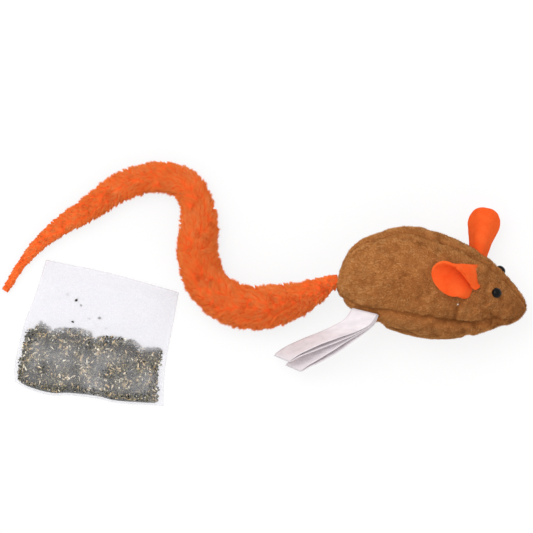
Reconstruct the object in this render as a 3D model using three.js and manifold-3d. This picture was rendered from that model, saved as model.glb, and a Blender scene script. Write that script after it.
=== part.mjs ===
// A stuffed catnip mouse, lying on its left flank on a table, and the sachet of leaf for its belly pocket.
// Millimetres, +Z up. The origin is in the middle of the flattened patch of flank that the mouse rests on.
// The mouse is drawn in its own frame first (+X nose, +Y its left, +Z its back), then rolled on to its flank.
import * as THREE from "three";
import { mergeVertices } from "three/addons/utils/BufferGeometryUtils.js";
import Module from "manifold-3d";

const wasm = await Module();
wasm.setup();

// Clearances between neighbouring pieces
const SEAM_GAP = 0.3;
const SEAT_GAP = 0.4;
const CORE_GAP = 0.9;

// Cloths and sheets
const PLUSH = 1.6;
const TAIL_PLUSH = 2.2;
const FELT = 1.2;
const SATIN = 0.4;
const LINING = 0.6;
const NONWOVEN = 0.4;

// Body: cross-sections on a cosine spacing from rump to nose. Each has a half width, a rise above and a drop
// below its middle, the middle's height, and the belly seam's angle below the widest point. A turned-in edge
// takes at most the allowance's share of a panel's width.
const BODY_LENGTH = 101;
const BODY_REAR = -48.5;
const BODY_SECTIONS = [
  { halfWidth: 0, rise: 0, drop: 0, middle: -10, seam: 55 },
  { halfWidth: 12.5, rise: 13.4, drop: 13.4, middle: -3.6, seam: 47 },
  { halfWidth: 19.5, rise: 21.7, drop: 21.7, middle: -1.4, seam: 36 },
  { halfWidth: 24, rise: 28, drop: 27.6, middle: 0.4, seam: 22 },
  { halfWidth: 25.5, rise: 28.2, drop: 28, middle: -0.6, seam: 13.5 },
  { halfWidth: 22, rise: 23.1, drop: 23.1, middle: -0.9, seam: 17 },
  { halfWidth: 15, rise: 14.3, drop: 14.3, middle: -1, seam: 20 },
  { halfWidth: 7.8, rise: 6.8, drop: 6.8, middle: -2.5, seam: 36 },
  { halfWidth: 0, rise: 0, drop: 0, middle: -1.7, seam: 45 },
];
const SPINE_ANGLE = 90;
const SEAM_SINK = 0.8;
const SEAM_ROLL = 3;
const SEAM_ALLOWANCE = 5;
const ALLOWANCE_SHARE = 0.3;
const NOSE_GATHER = 1.2;

// How the mouse lies
const BODY_ROLL = 62;
const BODY_TURN = 12;
const FLANK_SETTLE = 3;

// Eyes: bead, stem and lock washer
const EYE_ALONG_SHARE = 0.721;
const EYE_ANGLE = 42;
const EYE_DIAMETER = 5.4;
const EYE_HEIGHT = 2.4;
const STEM_DIAMETER = 1.8;
const STEM_LENGTH = 6;
const WASHER_DIAMETER = 8;
const WASHER_THICKNESS = 1;

// Ears: one felt leaf each. On the table, heading (0 towards +X, 90 towards +Y) and pitch give the way it
// points, and roll turns its hollow side from straight up. Its two side walls bend up by an angle at the base
// and at the tip, and fold is the share of the base's width that goes from the left wall to the right one.
const EAR_ALONG_SHARE = 0.625;
const EAR_ANGLE = 60;
const EAR_LENGTH = 23;
const EAR_WIDTH = 26;
const EAR_BASE_WIDTH = 24;
const EAR_WIDEST_SHARE = 0.55;
const EAR_SUNK = 2.5;
const EAR_BASE_BEND_RADIUS = 2;
const EAR_TIP_BEND_RADIUS = 6;
const EAR_END_SHARE = 0.995;
const EAR_POSES = {
  left: { heading: 84, pitch: -6, roll: 180, lift: 0, fold: 0, baseBends: [85, 85], tipBends: [48, 48] },
  right: { heading: 190, pitch: 22, roll: 6, lift: 0.9, fold: 0.5, baseBends: [12, 168], tipBends: [12, 55] },
};

// Tail: offsets of its middle line from the root, seen from above, and its thickness there
const TAIL_ROUTE = [
  { x: 0, y: 0, thickness: 7.3 },
  { x: -8, y: -4.2, thickness: 12.8 },
  { x: -17.8, y: -9, thickness: 17.4 },
  { x: -30, y: -12.4, thickness: 21.4 },
  { x: -42, y: -13.8, thickness: 22.4 },
  { x: -55.2, y: -10.7, thickness: 22.2 },
  { x: -66.4, y: -0.8, thickness: 21.4 },
  { x: -71.1, y: 14.1, thickness: 21.4 },
  { x: -70.6, y: 29.3, thickness: 19.8 },
  { x: -71.8, y: 40.5, thickness: 17.6 },
  { x: -77.4, y: 50.6, thickness: 16.4 },
  { x: -90, y: 54.9, thickness: 16.2 },
  { x: -102.8, y: 52.9, thickness: 15.4 },
  { x: -112.8, y: 48.9, thickness: 14.8 },
  { x: -128.2, y: 38.2, thickness: 12.8 },
  { x: -144.6, y: 27.9, thickness: 9.8 },
  { x: -156.5, y: 17.7, thickness: 7.2 },
  { x: -164, y: 8.6, thickness: 5.3 },
  { x: -172.4, y: -4.8, thickness: 4.2 },
];
const TAIL_STANDOFF = 1.2;
const TAIL_LANDING = 46;
const TAIL_CORE_LEAST = 3.4;

// Belly pocket: a lining bag behind a slot in the belly panel, wider inside than at its mouth
const POCKET_CENTRE = 2;
const POCKET_OFFSET = -2.8;
const MOUTH_LENGTH = 40;
const MOUTH_WIDTH = 10.5;
const BAG_LENGTH = 44;
const BAG_WIDTH = 20;
const BAG_DEPTH = 21;
const BAG_ROUNDING = 4;
const NECK_DEPTH = 6;

// Belly flap and its hook-and-loop closure, by the angle round the body. The flap presses the belly in under it,
// so its hinge edge lies flush with the belly round it.
const FLAP_LENGTH = 46;
const FLAP_HINGE_ANGLE = -110;
const FLAP_EDGE_ANGLE = -75;
const FLAP_CORNER_ANGLE = 5;
const FLAP_RECESS = SEAT_GAP + PLUSH;
const FLAP_RECESS_SLOPE = 10;
const FLAP_CORNER_POWER = 6;
const FLAP_RISE_SHARE = 0.45;
const STRIP_WIDTH = 7;
const STRIP_LENGTH = 36;
const STRIP_THICKNESS = 0.8;
const STRIP_INSET = 1.2;

// Labels: satin loops sewn into the right belly seam, upper and lower
const LABEL_ALONG_SHARE = 0.278;
const LABEL_WIDTH = 15;
const LABEL_OPENING = 2.6;
const LABEL_ROUTE = [
  { x: 0, y: 0, z: 0 },
  { x: -3, y: -5, z: 0 },
  { x: -10, y: -9.5, z: -3 },
  { x: -20, y: -14, z: -8 },
  { x: -30, y: -18, z: -13 },
  { x: -38, y: -21.5, z: -16.5 },
  { x: -43.5, y: -25, z: -18.5 },
];
const LABEL_END_DIRECTION = new THREE.Vector3(0.52, -0.22, 0.82);
const LABEL_TWIST_SHARE = 0.6;
const CARE_LABEL_SPREAD = 3;

// Sachet: two nonwoven sheets sealed round the edge, with leaf in the lower part, placed from the tail's root
const SACHET_PLACE = { x: -122, y: -28 };
const SACHET_TURN = -12;
const SACHET_TOP_WIDTH = 71;
const SACHET_BOTTOM_WIDTH = 78;
const SACHET_HEIGHT = 62;
const SACHET_SEAL = 2;
const LEAF_SHARE = 0.6;
const LEAF_HEIGHT = 6.5;
const LEAF_LEAST = 0.5;

// Fineness of the facets
const BODY_ROWS = 20;
const SIDE_COLUMNS = 8;
const BELLY_COLUMNS = 12;
const CORE_COLUMNS = 24;
const TAIL_STEPS = 40;
const TAIL_SIDES = 9;
const SACHET_STEPS = 12;
const EYE_SIDES = 14;
const DOME_STEPS = 5;
const EAR_ROWS = 9;
const EAR_COLUMNS = 12;
const POCKET_SIDES = 24;
const BAG_STEPS = 2;
const FLAP_ROWS = 10;
const FLAP_COLUMNS = 8;
const STRIP_COLUMNS = 3;
const LABEL_STEPS = 12;
const LIE_STEPS = 180;

const COLOURS = {
  brownPlush: "#a1683b",
  orangePlush: "#f0652f",
  orangeFelt: "#f1693a",
  satin: "#e9dde0",
  bead: "#161418",
  washer: "#d8d4cc",
  fibre: "#f2efe8",
  lining: "#b98a5e",
  hook: "#5a3d25",
  loop: "#6b4a2e",
  nonwoven: "#f7f6fb",
  leaf: "#77755f",
};

const radians = THREE.MathUtils.degToRad;
const STRAIGHT_UP = new THREE.Vector3(0, -Math.sin(radians(BODY_ROLL)), Math.cos(radians(BODY_ROLL)));

function range(count) {
  return Array.from({ length: count + 1 }, (_, i) => i / count);
}

// Geometry helpers

function facesOut(positions, index) {
  const corner = (i) => new THREE.Vector3().fromArray(positions, 3 * i);
  let volume = 0;
  for (let i = 0; i < index.length; i += 3) {
    volume += corner(index[i]).dot(corner(index[i + 1]).cross(corner(index[i + 2])));
  }
  return volume > 0 ? index : index.reverse();
}

function closedGeometry(points, index) {
  const positions = points.flatMap((p) => p.toArray());
  const geometry = new THREE.BufferGeometry();
  geometry.setAttribute("position", new THREE.Float32BufferAttribute(positions, 3));
  geometry.setIndex(facesOut(positions, index));
  return geometry;
}

// A solid between two grids of points, with walls round their four edges
function sheetGeometry(front, back) {
  const rows = front.length;
  const columns = front[0].length;
  const index = [];
  const quad = (a, b, c, d) => index.push(a, b, c, a, c, d);
  const id = (side, i, j) => (side * rows + i) * columns + j;
  for (let i = 0; i + 1 < rows; i++) {
    for (let j = 0; j + 1 < columns; j++) {
      quad(id(0, i, j), id(0, i + 1, j), id(0, i + 1, j + 1), id(0, i, j + 1));
      quad(id(1, i, j), id(1, i, j + 1), id(1, i + 1, j + 1), id(1, i + 1, j));
    }
  }
  for (let i = 0; i + 1 < rows; i++) {
    quad(id(0, i, 0), id(1, i, 0), id(1, i + 1, 0), id(0, i + 1, 0));
    quad(id(0, i, columns - 1), id(0, i + 1, columns - 1), id(1, i + 1, columns - 1), id(1, i, columns - 1));
  }
  for (let j = 0; j + 1 < columns; j++) {
    quad(id(0, 0, j), id(0, 0, j + 1), id(1, 0, j + 1), id(1, 0, j));
    quad(id(0, rows - 1, j), id(1, rows - 1, j), id(1, rows - 1, j + 1), id(0, rows - 1, j + 1));
  }
  return closedGeometry([...front.flat(), ...back.flat()], index);
}

// A solid through a row of rings, its first and last rings closed by a fan
function ringGeometry(rings) {
  const sides = rings[0].length;
  const middle = (ring) => ring.reduce((sum, p) => sum.add(p), new THREE.Vector3()).divideScalar(sides);
  const points = [...rings.flat(), middle(rings[0]), middle(rings.at(-1))];
  const first = points.length - 2;
  const last = points.length - 1;
  const index = [];
  for (let j = 0; j < sides; j++) {
    const next = (j + 1) % sides;
    for (let i = 0; i + 1 < rings.length; i++) {
      const a = i * sides;
      const b = a + sides;
      index.push(a + j, b + j, b + next, a + j, b + next, a + next);
    }
    const end = (rings.length - 1) * sides;
    index.push(first, j, next, last, end + next, end + j);
  }
  return closedGeometry(points, index);
}

function solidOf(geometry) {
  const bare = geometry.clone();
  bare.deleteAttribute("normal");
  bare.deleteAttribute("uv");
  const merged = mergeVertices(bare);
  return new wasm.Manifold(
    new wasm.Mesh({
      numProp: 3,
      vertProperties: Float32Array.from(merged.attributes.position.array),
      triVerts: Uint32Array.from(merged.index.array),
    }),
  );
}

function geometryOf(solid) {
  const mesh = solid.getMesh();
  const geometry = new THREE.BufferGeometry();
  geometry.setAttribute("position", new THREE.Float32BufferAttribute(mesh.vertProperties, 3));
  geometry.setIndex(new THREE.Uint32BufferAttribute(mesh.triVerts, 1));
  return geometry;
}

function cut(geometry, ...tools) {
  return geometryOf(tools.reduce((solid, tool) => solid.subtract(solidOf(tool)), solidOf(geometry)));
}

function piece(name, geometry, colour, roughness) {
  geometry.computeVertexNormals();
  const material = new THREE.MeshStandardMaterial({ color: colour, roughness, metalness: 0 });
  const mesh = new THREE.Mesh(geometry, material);
  mesh.name = name;
  return mesh;
}

// The body's surface: along it from rump (0) to nose (1), and round it by an angle from its left side up

const bodyCurves = {};
for (const key of Object.keys(BODY_SECTIONS[0])) {
  const stations = BODY_SECTIONS.map((section, i) => new THREE.Vector2(i, section[key]));
  bodyCurves[key] = new THREE.SplineCurve(stations);
}

function bodySize(key, along) {
  return bodyCurves[key].getPoint(along).y;
}

function bodySurface(along, angle) {
  const reach = bodySize(Math.sin(angle) > 0 ? "rise" : "drop", along);
  return new THREE.Vector3(
    BODY_REAR + (BODY_LENGTH / 2) * (1 - Math.cos(Math.PI * along)),
    bodySize("halfWidth", along) * Math.cos(angle),
    bodySize("middle", along) + reach * Math.sin(angle),
  );
}

function bodyTangents(along, angle) {
  const step = 1e-3;
  return {
    forward: bodySurface(along + step, angle).sub(bodySurface(along - step, angle)).divideScalar(2 * step),
    round: bodySurface(along, angle + step).sub(bodySurface(along, angle - step)).divideScalar(2 * step),
  };
}

function bodyNormal(along, angle) {
  const { forward, round } = bodyTangents(along, angle);
  return round.cross(forward).normalize();
}

// The angle round the body that covers a given distance on its surface
function angleFor(distance, along, angle) {
  return distance / bodyTangents(along, angle).round.length();
}

function seamAngles(along) {
  const seam = radians(bodySize("seam", along));
  return { leftBelly: -seam, spine: radians(SPINE_ANGLE), rightBelly: Math.PI + seam };
}

function seamSink(along, angle) {
  const full = Math.PI * 2;
  const arc = bodyTangents(along, angle).round.length();
  const away = Object.values(seamAngles(along)).map((seam) => {
    const turn = (((angle - seam) % full) + full) % full;
    return arc * Math.min(turn, full - turn);
  });
  const nearest = Math.min(...away) / SEAM_ROLL;
  const share = Math.min(1, bodySize("halfWidth", along) / (SEAM_ROLL * 3));
  return SEAM_SINK * share * Math.exp(-nearest * nearest);
}

// How far the flap presses the belly in: fully under it, and less and less over a slope round it
function flapRecess(along, angle) {
  const arc = bodyTangents(along, angle).round.length();
  const top = 1.5 * Math.PI;
  const turn = THREE.MathUtils.euclideanModulo(angle + top, 2 * Math.PI) - top;
  const below = Math.max(radians(FLAP_HINGE_ANGLE) - turn, turn - radians(FLAP_EDGE_ANGLE), 0) * arc;
  const beyond = Math.max(Math.abs(bodySurface(along, angle).x - POCKET_CENTRE) - FLAP_LENGTH / 2, 0);
  const away = Math.hypot(below, beyond) / FLAP_RECESS_SLOPE;
  return FLAP_RECESS * (1 - THREE.MathUtils.smoothstep(away, 0, 1));
}

// The lowest point of the flank, found on the unsettled surface between its left side and its belly
const lowest = range(LIE_STEPS)
  .slice(1, -1)
  .flatMap((along) => range(LIE_STEPS).map((turn) => bodySurface(along, -turn * (Math.PI / 2))))
  .reduce((low, p) => (p.dot(STRAIGHT_UP) < low.dot(STRAIGHT_UP) ? p : low));
const tableLevel = lowest.dot(STRAIGHT_UP) + FLANK_SETTLE;

// Place of the mouse on the table

const lie = new THREE.Matrix4()
  .makeRotationZ(radians(-BODY_TURN))
  .multiply(new THREE.Matrix4().makeRotationX(radians(-BODY_ROLL)));
const restPoint = lowest.clone().addScaledVector(STRAIGHT_UP, FLANK_SETTLE);
lie.setPosition(restPoint.applyMatrix4(lie).negate());

function onTable(point) {
  return point.clone().applyMatrix4(lie);
}

// A point at a depth under the cloth's face (negative outside it), raised where the flank is pressed flat
function bodyPoint(along, angle, depth) {
  const sunk = depth + seamSink(along, angle) + flapRecess(along, angle);
  const point = bodySurface(along, angle).addScaledVector(bodyNormal(along, angle), -sunk);
  const short = tableLevel + depth - point.dot(STRAIGHT_UP);
  return short > 0 ? point.addScaledVector(STRAIGHT_UP, short) : point;
}

function alongWhere(halfWidth, from, to) {
  let [narrow, wide] = [from, to];
  for (let i = 0; i < 40; i++) {
    const middle = (narrow + wide) / 2;
    if (bodySize("halfWidth", middle) < halfWidth) {
      narrow = middle;
    } else {
      wide = middle;
    }
  }
  return wide;
}

function alongAt(x) {
  return Math.acos(1 - (2 * (x - BODY_REAR)) / BODY_LENGTH) / Math.PI;
}

const TAIL_ROOT_RADIUS = TAIL_ROUTE[0].thickness / 2;
const rumpEnd = alongWhere(TAIL_ROOT_RADIUS + SEAT_GAP, 0, 0.5);
const noseEnd = alongWhere(NOSE_GATHER, 1, 0.5);

function bodyRows(from, to) {
  return range(BODY_ROWS).map((share) => from + share * (to - from));
}

// A closed form of the whole body at a depth under the cloth's face
function bodyForm(depth, from, to) {
  const rings = bodyRows(from, to).map((along) =>
    range(CORE_COLUMNS).slice(1).map((turn) => bodyPoint(along, turn * 2 * Math.PI, depth)),
  );
  return ringGeometry(rings);
}

// How deep the turned-in edges of two panels reach at a seam: none where the body is too thin for them
function allowanceDepth(along) {
  const room = THREE.MathUtils.smoothstep(bodySize("halfWidth", along), SEAM_ALLOWANCE, 2 * SEAM_ALLOWANCE);
  const least = PLUSH + SEAM_GAP;
  return least + room * (SEAM_ALLOWANCE - least);
}

// A panel of plush between two seams, with its edges turned in
function panelGeometry(fromSeam, toSeam, columns) {
  const front = [];
  const back = [];
  for (const along of bodyRows(rumpEnd, noseEnd)) {
    const { start, end } = panelEdges(along, fromSeam, toSeam);
    const thick = (angle) => Math.min(angleFor(PLUSH, along, angle), ALLOWANCE_SHARE * (end - start));
    const [innerStart, innerEnd] = [start + thick(start), end - thick(end)];
    const deep = allowanceDepth(along);
    const apart = (angle) => angleFor(SEAM_GAP / 2, along, angle);
    const faces = range(columns).map((share) => start + share * (end - start));
    const linings = range(columns).map((share) => innerStart + share * (innerEnd - innerStart));
    front.push([
      bodyPoint(along, start + apart(start), deep),
      ...faces.map((angle) => bodyPoint(along, angle, 0)),
      bodyPoint(along, end - apart(end), deep),
    ]);
    back.push([
      bodyPoint(along, innerStart + apart(start), deep),
      ...linings.map((angle) => bodyPoint(along, angle, PLUSH)),
      bodyPoint(along, innerEnd - apart(end), deep),
    ]);
  }
  return sheetGeometry(front, back);
}

function panelEdges(along, fromSeam, toSeam) {
  const seams = seamAngles(along);
  const start = seams[fromSeam];
  const end = seams[toSeam] < start ? seams[toSeam] + 2 * Math.PI : seams[toSeam];
  return {
    start: start + angleFor(SEAM_GAP / 2, along, start),
    end: end - angleFor(SEAM_GAP / 2, along, end),
  };
}

// The room that the turned-in edges of one seam take out of the stuffing
function seamRoom(seam) {
  const depths = [PLUSH / 2, PLUSH + CORE_GAP, SEAM_ALLOWANCE + CORE_GAP];
  const wall = (side) =>
    bodyRows(rumpEnd, noseEnd).map((along) => {
      const angle = seamAngles(along)[seam];
      const clear = angleFor(PLUSH + SEAM_GAP + CORE_GAP, along, angle);
      const deepest = allowanceDepth(along) + CORE_GAP;
      return depths.map((depth) => bodyPoint(along, angle + side * clear, Math.min(depth, deepest)));
    });
  return sheetGeometry(wall(-1), wall(1));
}

// Eyes

function eyeSeat(side) {
  const angle = side === "left" ? radians(EYE_ANGLE) : Math.PI - radians(EYE_ANGLE);
  return { point: bodyPoint(EYE_ALONG_SHARE, angle, 0), normal: bodyNormal(EYE_ALONG_SHARE, angle) };
}

// A profile of [radius, height] turned about an eye's axis, heights measured out from the cloth's face
function turnedOnEye(side, profile) {
  const { point, normal } = eyeSeat(side);
  const geometry = new THREE.LatheGeometry(profile.map(([r, h]) => new THREE.Vector2(r, h)), EYE_SIDES);
  const turn = new THREE.Quaternion().setFromUnitVectors(new THREE.Vector3(0, 1, 0), normal);
  geometry.applyQuaternion(turn);
  geometry.translate(point.x, point.y, point.z);
  return geometryOf(solidOf(geometry));
}

function eyeGeometry(side) {
  const bead = EYE_DIAMETER / 2;
  const stem = STEM_DIAMETER / 2;
  const dome = range(DOME_STEPS).map((share) => {
    const lift = share * (Math.PI / 2);
    return [bead * Math.cos(lift), SEAT_GAP + EYE_HEIGHT * Math.sin(lift)];
  });
  dome[dome.length - 1][0] = 0;
  return turnedOnEye(side, [[0, -STEM_LENGTH], [stem, -STEM_LENGTH], [stem, SEAT_GAP], ...dome]);
}

const WASHER_DEPTH = PLUSH + 2 * SEAT_GAP;

function washerGeometry(side) {
  const bore = STEM_DIAMETER / 2 + SEAM_GAP;
  const rim = WASHER_DIAMETER / 2;
  const [top, bottom] = [-WASHER_DEPTH, -WASHER_DEPTH - WASHER_THICKNESS];
  return turnedOnEye(side, [[bore, bottom], [rim, bottom], [rim, top], [bore, top], [bore, bottom]]);
}

// The hole in the panel for a stem, and the room in the stuffing for the washer and stem
function stemHole(side) {
  const bore = STEM_DIAMETER / 2 + SEAM_GAP;
  return turnedOnEye(side, [[0, -WASHER_DEPTH], [bore, -WASHER_DEPTH], [bore, PLUSH], [0, PLUSH]]);
}

function washerRoom(side) {
  const rim = WASHER_DIAMETER / 2 + SEAT_GAP;
  const bottom = -STEM_LENGTH - SEAT_GAP;
  return turnedOnEye(side, [[0, bottom], [rim, bottom], [rim, 0], [0, 0]]);
}

// Ears

// An ear's root on the head, and its length, hollow side and width as directions in the mouse's frame
function earFrame(side) {
  const pose = EAR_POSES[side];
  const angle = side === "left" ? radians(EAR_ANGLE) : Math.PI - radians(EAR_ANGLE);
  const [heading, pitch] = [radians(pose.heading), radians(pose.pitch)];
  const ahead = new THREE.Vector3(Math.cos(heading), Math.sin(heading), 0);
  const leftward = new THREE.Vector3(-ahead.y, ahead.x, 0);
  const long = ahead.multiplyScalar(Math.cos(pitch)).setZ(Math.sin(pitch));
  const open = new THREE.Vector3().crossVectors(long, leftward).applyAxisAngle(long, radians(pose.roll));
  const wide = new THREE.Vector3().crossVectors(open, long);
  const standUp = lie.clone().invert();
  for (const direction of [long, open, wide]) {
    direction.transformDirection(standUp);
  }
  return { root: bodyPoint(EAR_ALONG_SHARE, angle, 0), long, open, wide, pose };
}

// Half the leaf's width at a share of its length: it swells from its base, and its end is half an ellipse
function earHalfWidth(share) {
  const round = Math.max(share - EAR_WIDEST_SHARE, 0) / (1 - EAR_WIDEST_SHARE);
  const swell = THREE.MathUtils.smoothstep(share, -EAR_SUNK / EAR_LENGTH, EAR_WIDEST_SHARE);
  const straight = THREE.MathUtils.lerp(EAR_BASE_WIDTH, EAR_WIDTH, swell) / 2;
  return straight * Math.sqrt(1 - round * round);
}

// A wall of the ear at a distance from its fold: first a bend round the hollow, then straight on
function earWall(distance, bend, radius, lift) {
  const turned = Math.min(distance / radius, bend);
  const straight = Math.max(distance - radius * bend, 0);
  return {
    aside: (radius - lift) * Math.sin(turned) + straight * Math.cos(turned),
    up: radius - (radius - lift) * Math.cos(turned) + straight * Math.sin(turned),
  };
}

function earGeometry(side) {
  const { root, long, open, wide, pose } = earFrame(side);
  const sunk = EAR_SUNK / EAR_LENGTH;
  const rows = range(EAR_ROWS).map((step) => (EAR_END_SHARE + sunk) * Math.sin((step * Math.PI) / 2) - sunk);
  const mix = (base, tip, share) => THREE.MathUtils.lerp(base, tip, Math.max(share, 0));
  const grid = (lift) =>
    rows.map((share) =>
      range(EAR_COLUMNS).map((step) => {
        const across = 2 * step - 1;
        const wall = across > 0 ? 0 : 1;
        const fold = mix(pose.fold, 0, Math.min(share / EAR_WIDEST_SHARE, 1)) * (wall ? 1 : -1);
        const bend = radians(mix(pose.baseBends[wall], pose.tipBends[wall], share));
        const radius = mix(EAR_BASE_BEND_RADIUS, EAR_TIP_BEND_RADIUS, share);
        const distance = Math.abs(across) * earHalfWidth(share) * (1 + fold);
        const { aside, up } = earWall(distance, bend, radius, lift);
        return root
          .clone()
          .addScaledVector(long, share * EAR_LENGTH)
          .addScaledVector(open, up + pose.lift)
          .addScaledVector(wide, aside * Math.sign(across));
      }),
    );
  const leaf = sheetGeometry(grid(-FELT / 2), grid(FELT / 2));
  return cut(leaf, bodyForm(-SEAT_GAP, rumpEnd, noseEnd));
}

// Pocket in the belly

// A rounded oblong ring across the pocket, at a height in the mouse's frame
function pocketRing(length, width, height) {
  const round = (value) => Math.sign(value) * Math.sqrt(Math.abs(value));
  return range(POCKET_SIDES).slice(1).map((turn) => {
    const angle = turn * 2 * Math.PI;
    return new THREE.Vector3(
      POCKET_CENTRE + (length / 2) * round(Math.cos(angle)),
      POCKET_OFFSET + (width / 2) * round(Math.sin(angle)),
      height,
    );
  });
}

const mouthAlong = alongAt(POCKET_CENTRE);
const mouthLevel = bodySurface(mouthAlong, -Math.PI / 2).z;

// The rings of the bag from its mouth to its closed end, all of them larger than the lining by a margin
function bagRings(margin) {
  const ring = (length, width, depth) =>
    pocketRing(length + 2 * margin, width + 2 * margin, mouthLevel + depth);
  return [
    ring(MOUTH_LENGTH, MOUTH_WIDTH, -PLUSH),
    ring(MOUTH_LENGTH, MOUTH_WIDTH, NECK_DEPTH),
    ...range(BAG_STEPS).map((share) => {
      const inset = 2 * BAG_ROUNDING * (1 - Math.sqrt(1 - share * share));
      const depth = THREE.MathUtils.lerp((NECK_DEPTH + BAG_DEPTH) / 2, BAG_DEPTH + margin, share);
      return ring(BAG_LENGTH - inset, BAG_WIDTH - inset, depth);
    }),
  ];
}

function pocketGeometry() {
  const bag = solidOf(ringGeometry([...bagRings(-LINING).reverse(), ...bagRings(0)]));
  return geometryOf(bag.intersect(solidOf(bodyForm(SEAM_GAP, rumpEnd, noseEnd))));
}

// Flap and closure: strips of cloth that follow the belly at a height above it

function bellyStrip(length, from, to, low, thickness, columns, rounding) {
  const [rear, front] = [alongAt(POCKET_CENTRE - length / 2), alongAt(POCKET_CENTRE + length / 2)];
  const layer = (extra) =>
    range(FLAP_ROWS).map((share) => {
      const along = rear + share * (front - rear);
      const trim = rounding * Math.pow(Math.abs(2 * share - 1), FLAP_CORNER_POWER);
      return range(columns).map((across) => {
        const angle = from + across * (to - trim - from);
        return bodyPoint(along, angle, -(low(across) + extra));
      });
    });
  return sheetGeometry(layer(thickness), layer(0));
}

const CLOSURE_HEIGHT = 2 * STRIP_THICKNESS + 3 * SEAT_GAP;

function flapGeometry() {
  const [hinge, edge, corner] = [FLAP_HINGE_ANGLE, FLAP_EDGE_ANGLE, FLAP_CORNER_ANGLE].map(radians);
  const rise = (across) => {
    const raised = THREE.MathUtils.smoothstep(across, 0, FLAP_RISE_SHARE);
    return THREE.MathUtils.lerp(SEAT_GAP, CLOSURE_HEIGHT, raised);
  };
  return bellyStrip(FLAP_LENGTH, hinge, edge, rise, PLUSH, FLAP_COLUMNS, corner);
}

function closureStrip(height) {
  const flapEdge = radians(FLAP_EDGE_ANGLE);
  const edge = flapEdge - angleFor(STRIP_INSET, mouthAlong, flapEdge);
  const start = edge - angleFor(STRIP_WIDTH, mouthAlong, edge);
  return bellyStrip(STRIP_LENGTH, start, edge, () => height, STRIP_THICKNESS, STRIP_COLUMNS, 0);
}

const tailRoot = bodySurface(0, 0).add(new THREE.Vector3(-TAIL_STANDOFF, 0, 0));

// Stuffing: the body's inside, less the room for the seams, the pocket, the eye washers and the tail's root
function stuffingGeometry() {
  const depth = PLUSH + CORE_GAP;
  const ends = [alongWhere(TAIL_ROOT_RADIUS + PLUSH, 0, 0.5), alongWhere(NOSE_GATHER + PLUSH, 1, 0.5)];
  const tailRoom = new THREE.SphereGeometry(TAIL_ROOT_RADIUS + SEAT_GAP, EYE_SIDES, EYE_SIDES);
  tailRoom.translate(tailRoot.x, tailRoot.y, tailRoot.z);
  return cut(
    bodyForm(depth, ...ends),
    ...["leftBelly", "spine", "rightBelly"].map(seamRoom),
    ringGeometry(bagRings(SEAM_GAP)),
    washerRoom("left"),
    washerRoom("right"),
    tailRoom,
  );
}

// Tail, in the table's frame

const tailHinge = onTable(tailRoot);
const tailPlan = new THREE.CatmullRomCurve3(
  TAIL_ROUTE.map(({ x, y }) => new THREE.Vector3(tailHinge.x + x, tailHinge.y + y, 0)),
);
const tailStations = TAIL_ROUTE.map(({ thickness }, i) => new THREE.Vector2(i, thickness));
const tailThickness = new THREE.SplineCurve(tailStations);
const tailLength = tailPlan.getLength();

// The tail's radius at a share of its length
function tailRadius(share) {
  return tailThickness.getPoint(tailPlan.getUtoTmapping(share)).y / 2;
}

// The tail leaves the rump at its height and comes down to lie on the table
const tailLine = new THREE.CatmullRomCurve3(
  range(TAIL_STEPS).map((share) => {
    const point = tailPlan.getPointAt(share);
    const fall = THREE.MathUtils.smootherstep(share * tailLength, 0, TAIL_LANDING);
    point.z = THREE.MathUtils.lerp(tailHinge.z, tailRadius(share) + SEAM_GAP, fall);
    return point;
  }),
);

function tailRings(inset, last) {
  const frames = tailLine.computeFrenetFrames(TAIL_STEPS, false);
  const rings = [];
  for (let i = 0; i <= last; i++) {
    const share = i / TAIL_STEPS;
    const radius = tailRadius(share) - inset;
    rings.push(
      range(TAIL_SIDES).slice(1).map((turn) => {
        const angle = turn * 2 * Math.PI;
        return tailLine
          .getPointAt(share)
          .addScaledVector(frames.normals[i], radius * Math.cos(angle))
          .addScaledVector(frames.binormals[i], radius * Math.sin(angle));
      }),
    );
  }
  return rings;
}

// The last step whose core is still wide enough to be filled
const coreRadius = (share) => tailRadius(share) - TAIL_PLUSH;
const coreEnd = range(TAIL_STEPS).findLastIndex((share) => 2 * coreRadius(share) > TAIL_CORE_LEAST);

function tailCoverGeometry() {
  return ringGeometry([...tailRings(TAIL_PLUSH, coreEnd).reverse(), ...tailRings(0, TAIL_STEPS)]);
}

function tailFillingGeometry() {
  return ringGeometry(tailRings(TAIL_PLUSH + SEAM_GAP, coreEnd - 1));
}

// Labels, in the table's frame: a satin strip that leaves the seam, folds at its end and comes back below

const labelSeam = seamAngles(LABEL_ALONG_SHARE).rightBelly;
const labelReach = LABEL_WIDTH / 2 / bodyTangents(LABEL_ALONG_SHARE, labelSeam).forward.length();

// Half the room between the two layers of a label, at a share of its length
function labelSpread(share) {
  return SATIN / 2 + SEAM_GAP / 2 + (LABEL_OPENING / 2) * Math.sin(Math.PI * share);
}

// How far the care label lies under the sewn one
function careLabelDrop(share) {
  return 2 * labelSpread(share) + SATIN + SEAM_GAP + CARE_LABEL_SPREAD * share;
}

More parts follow.
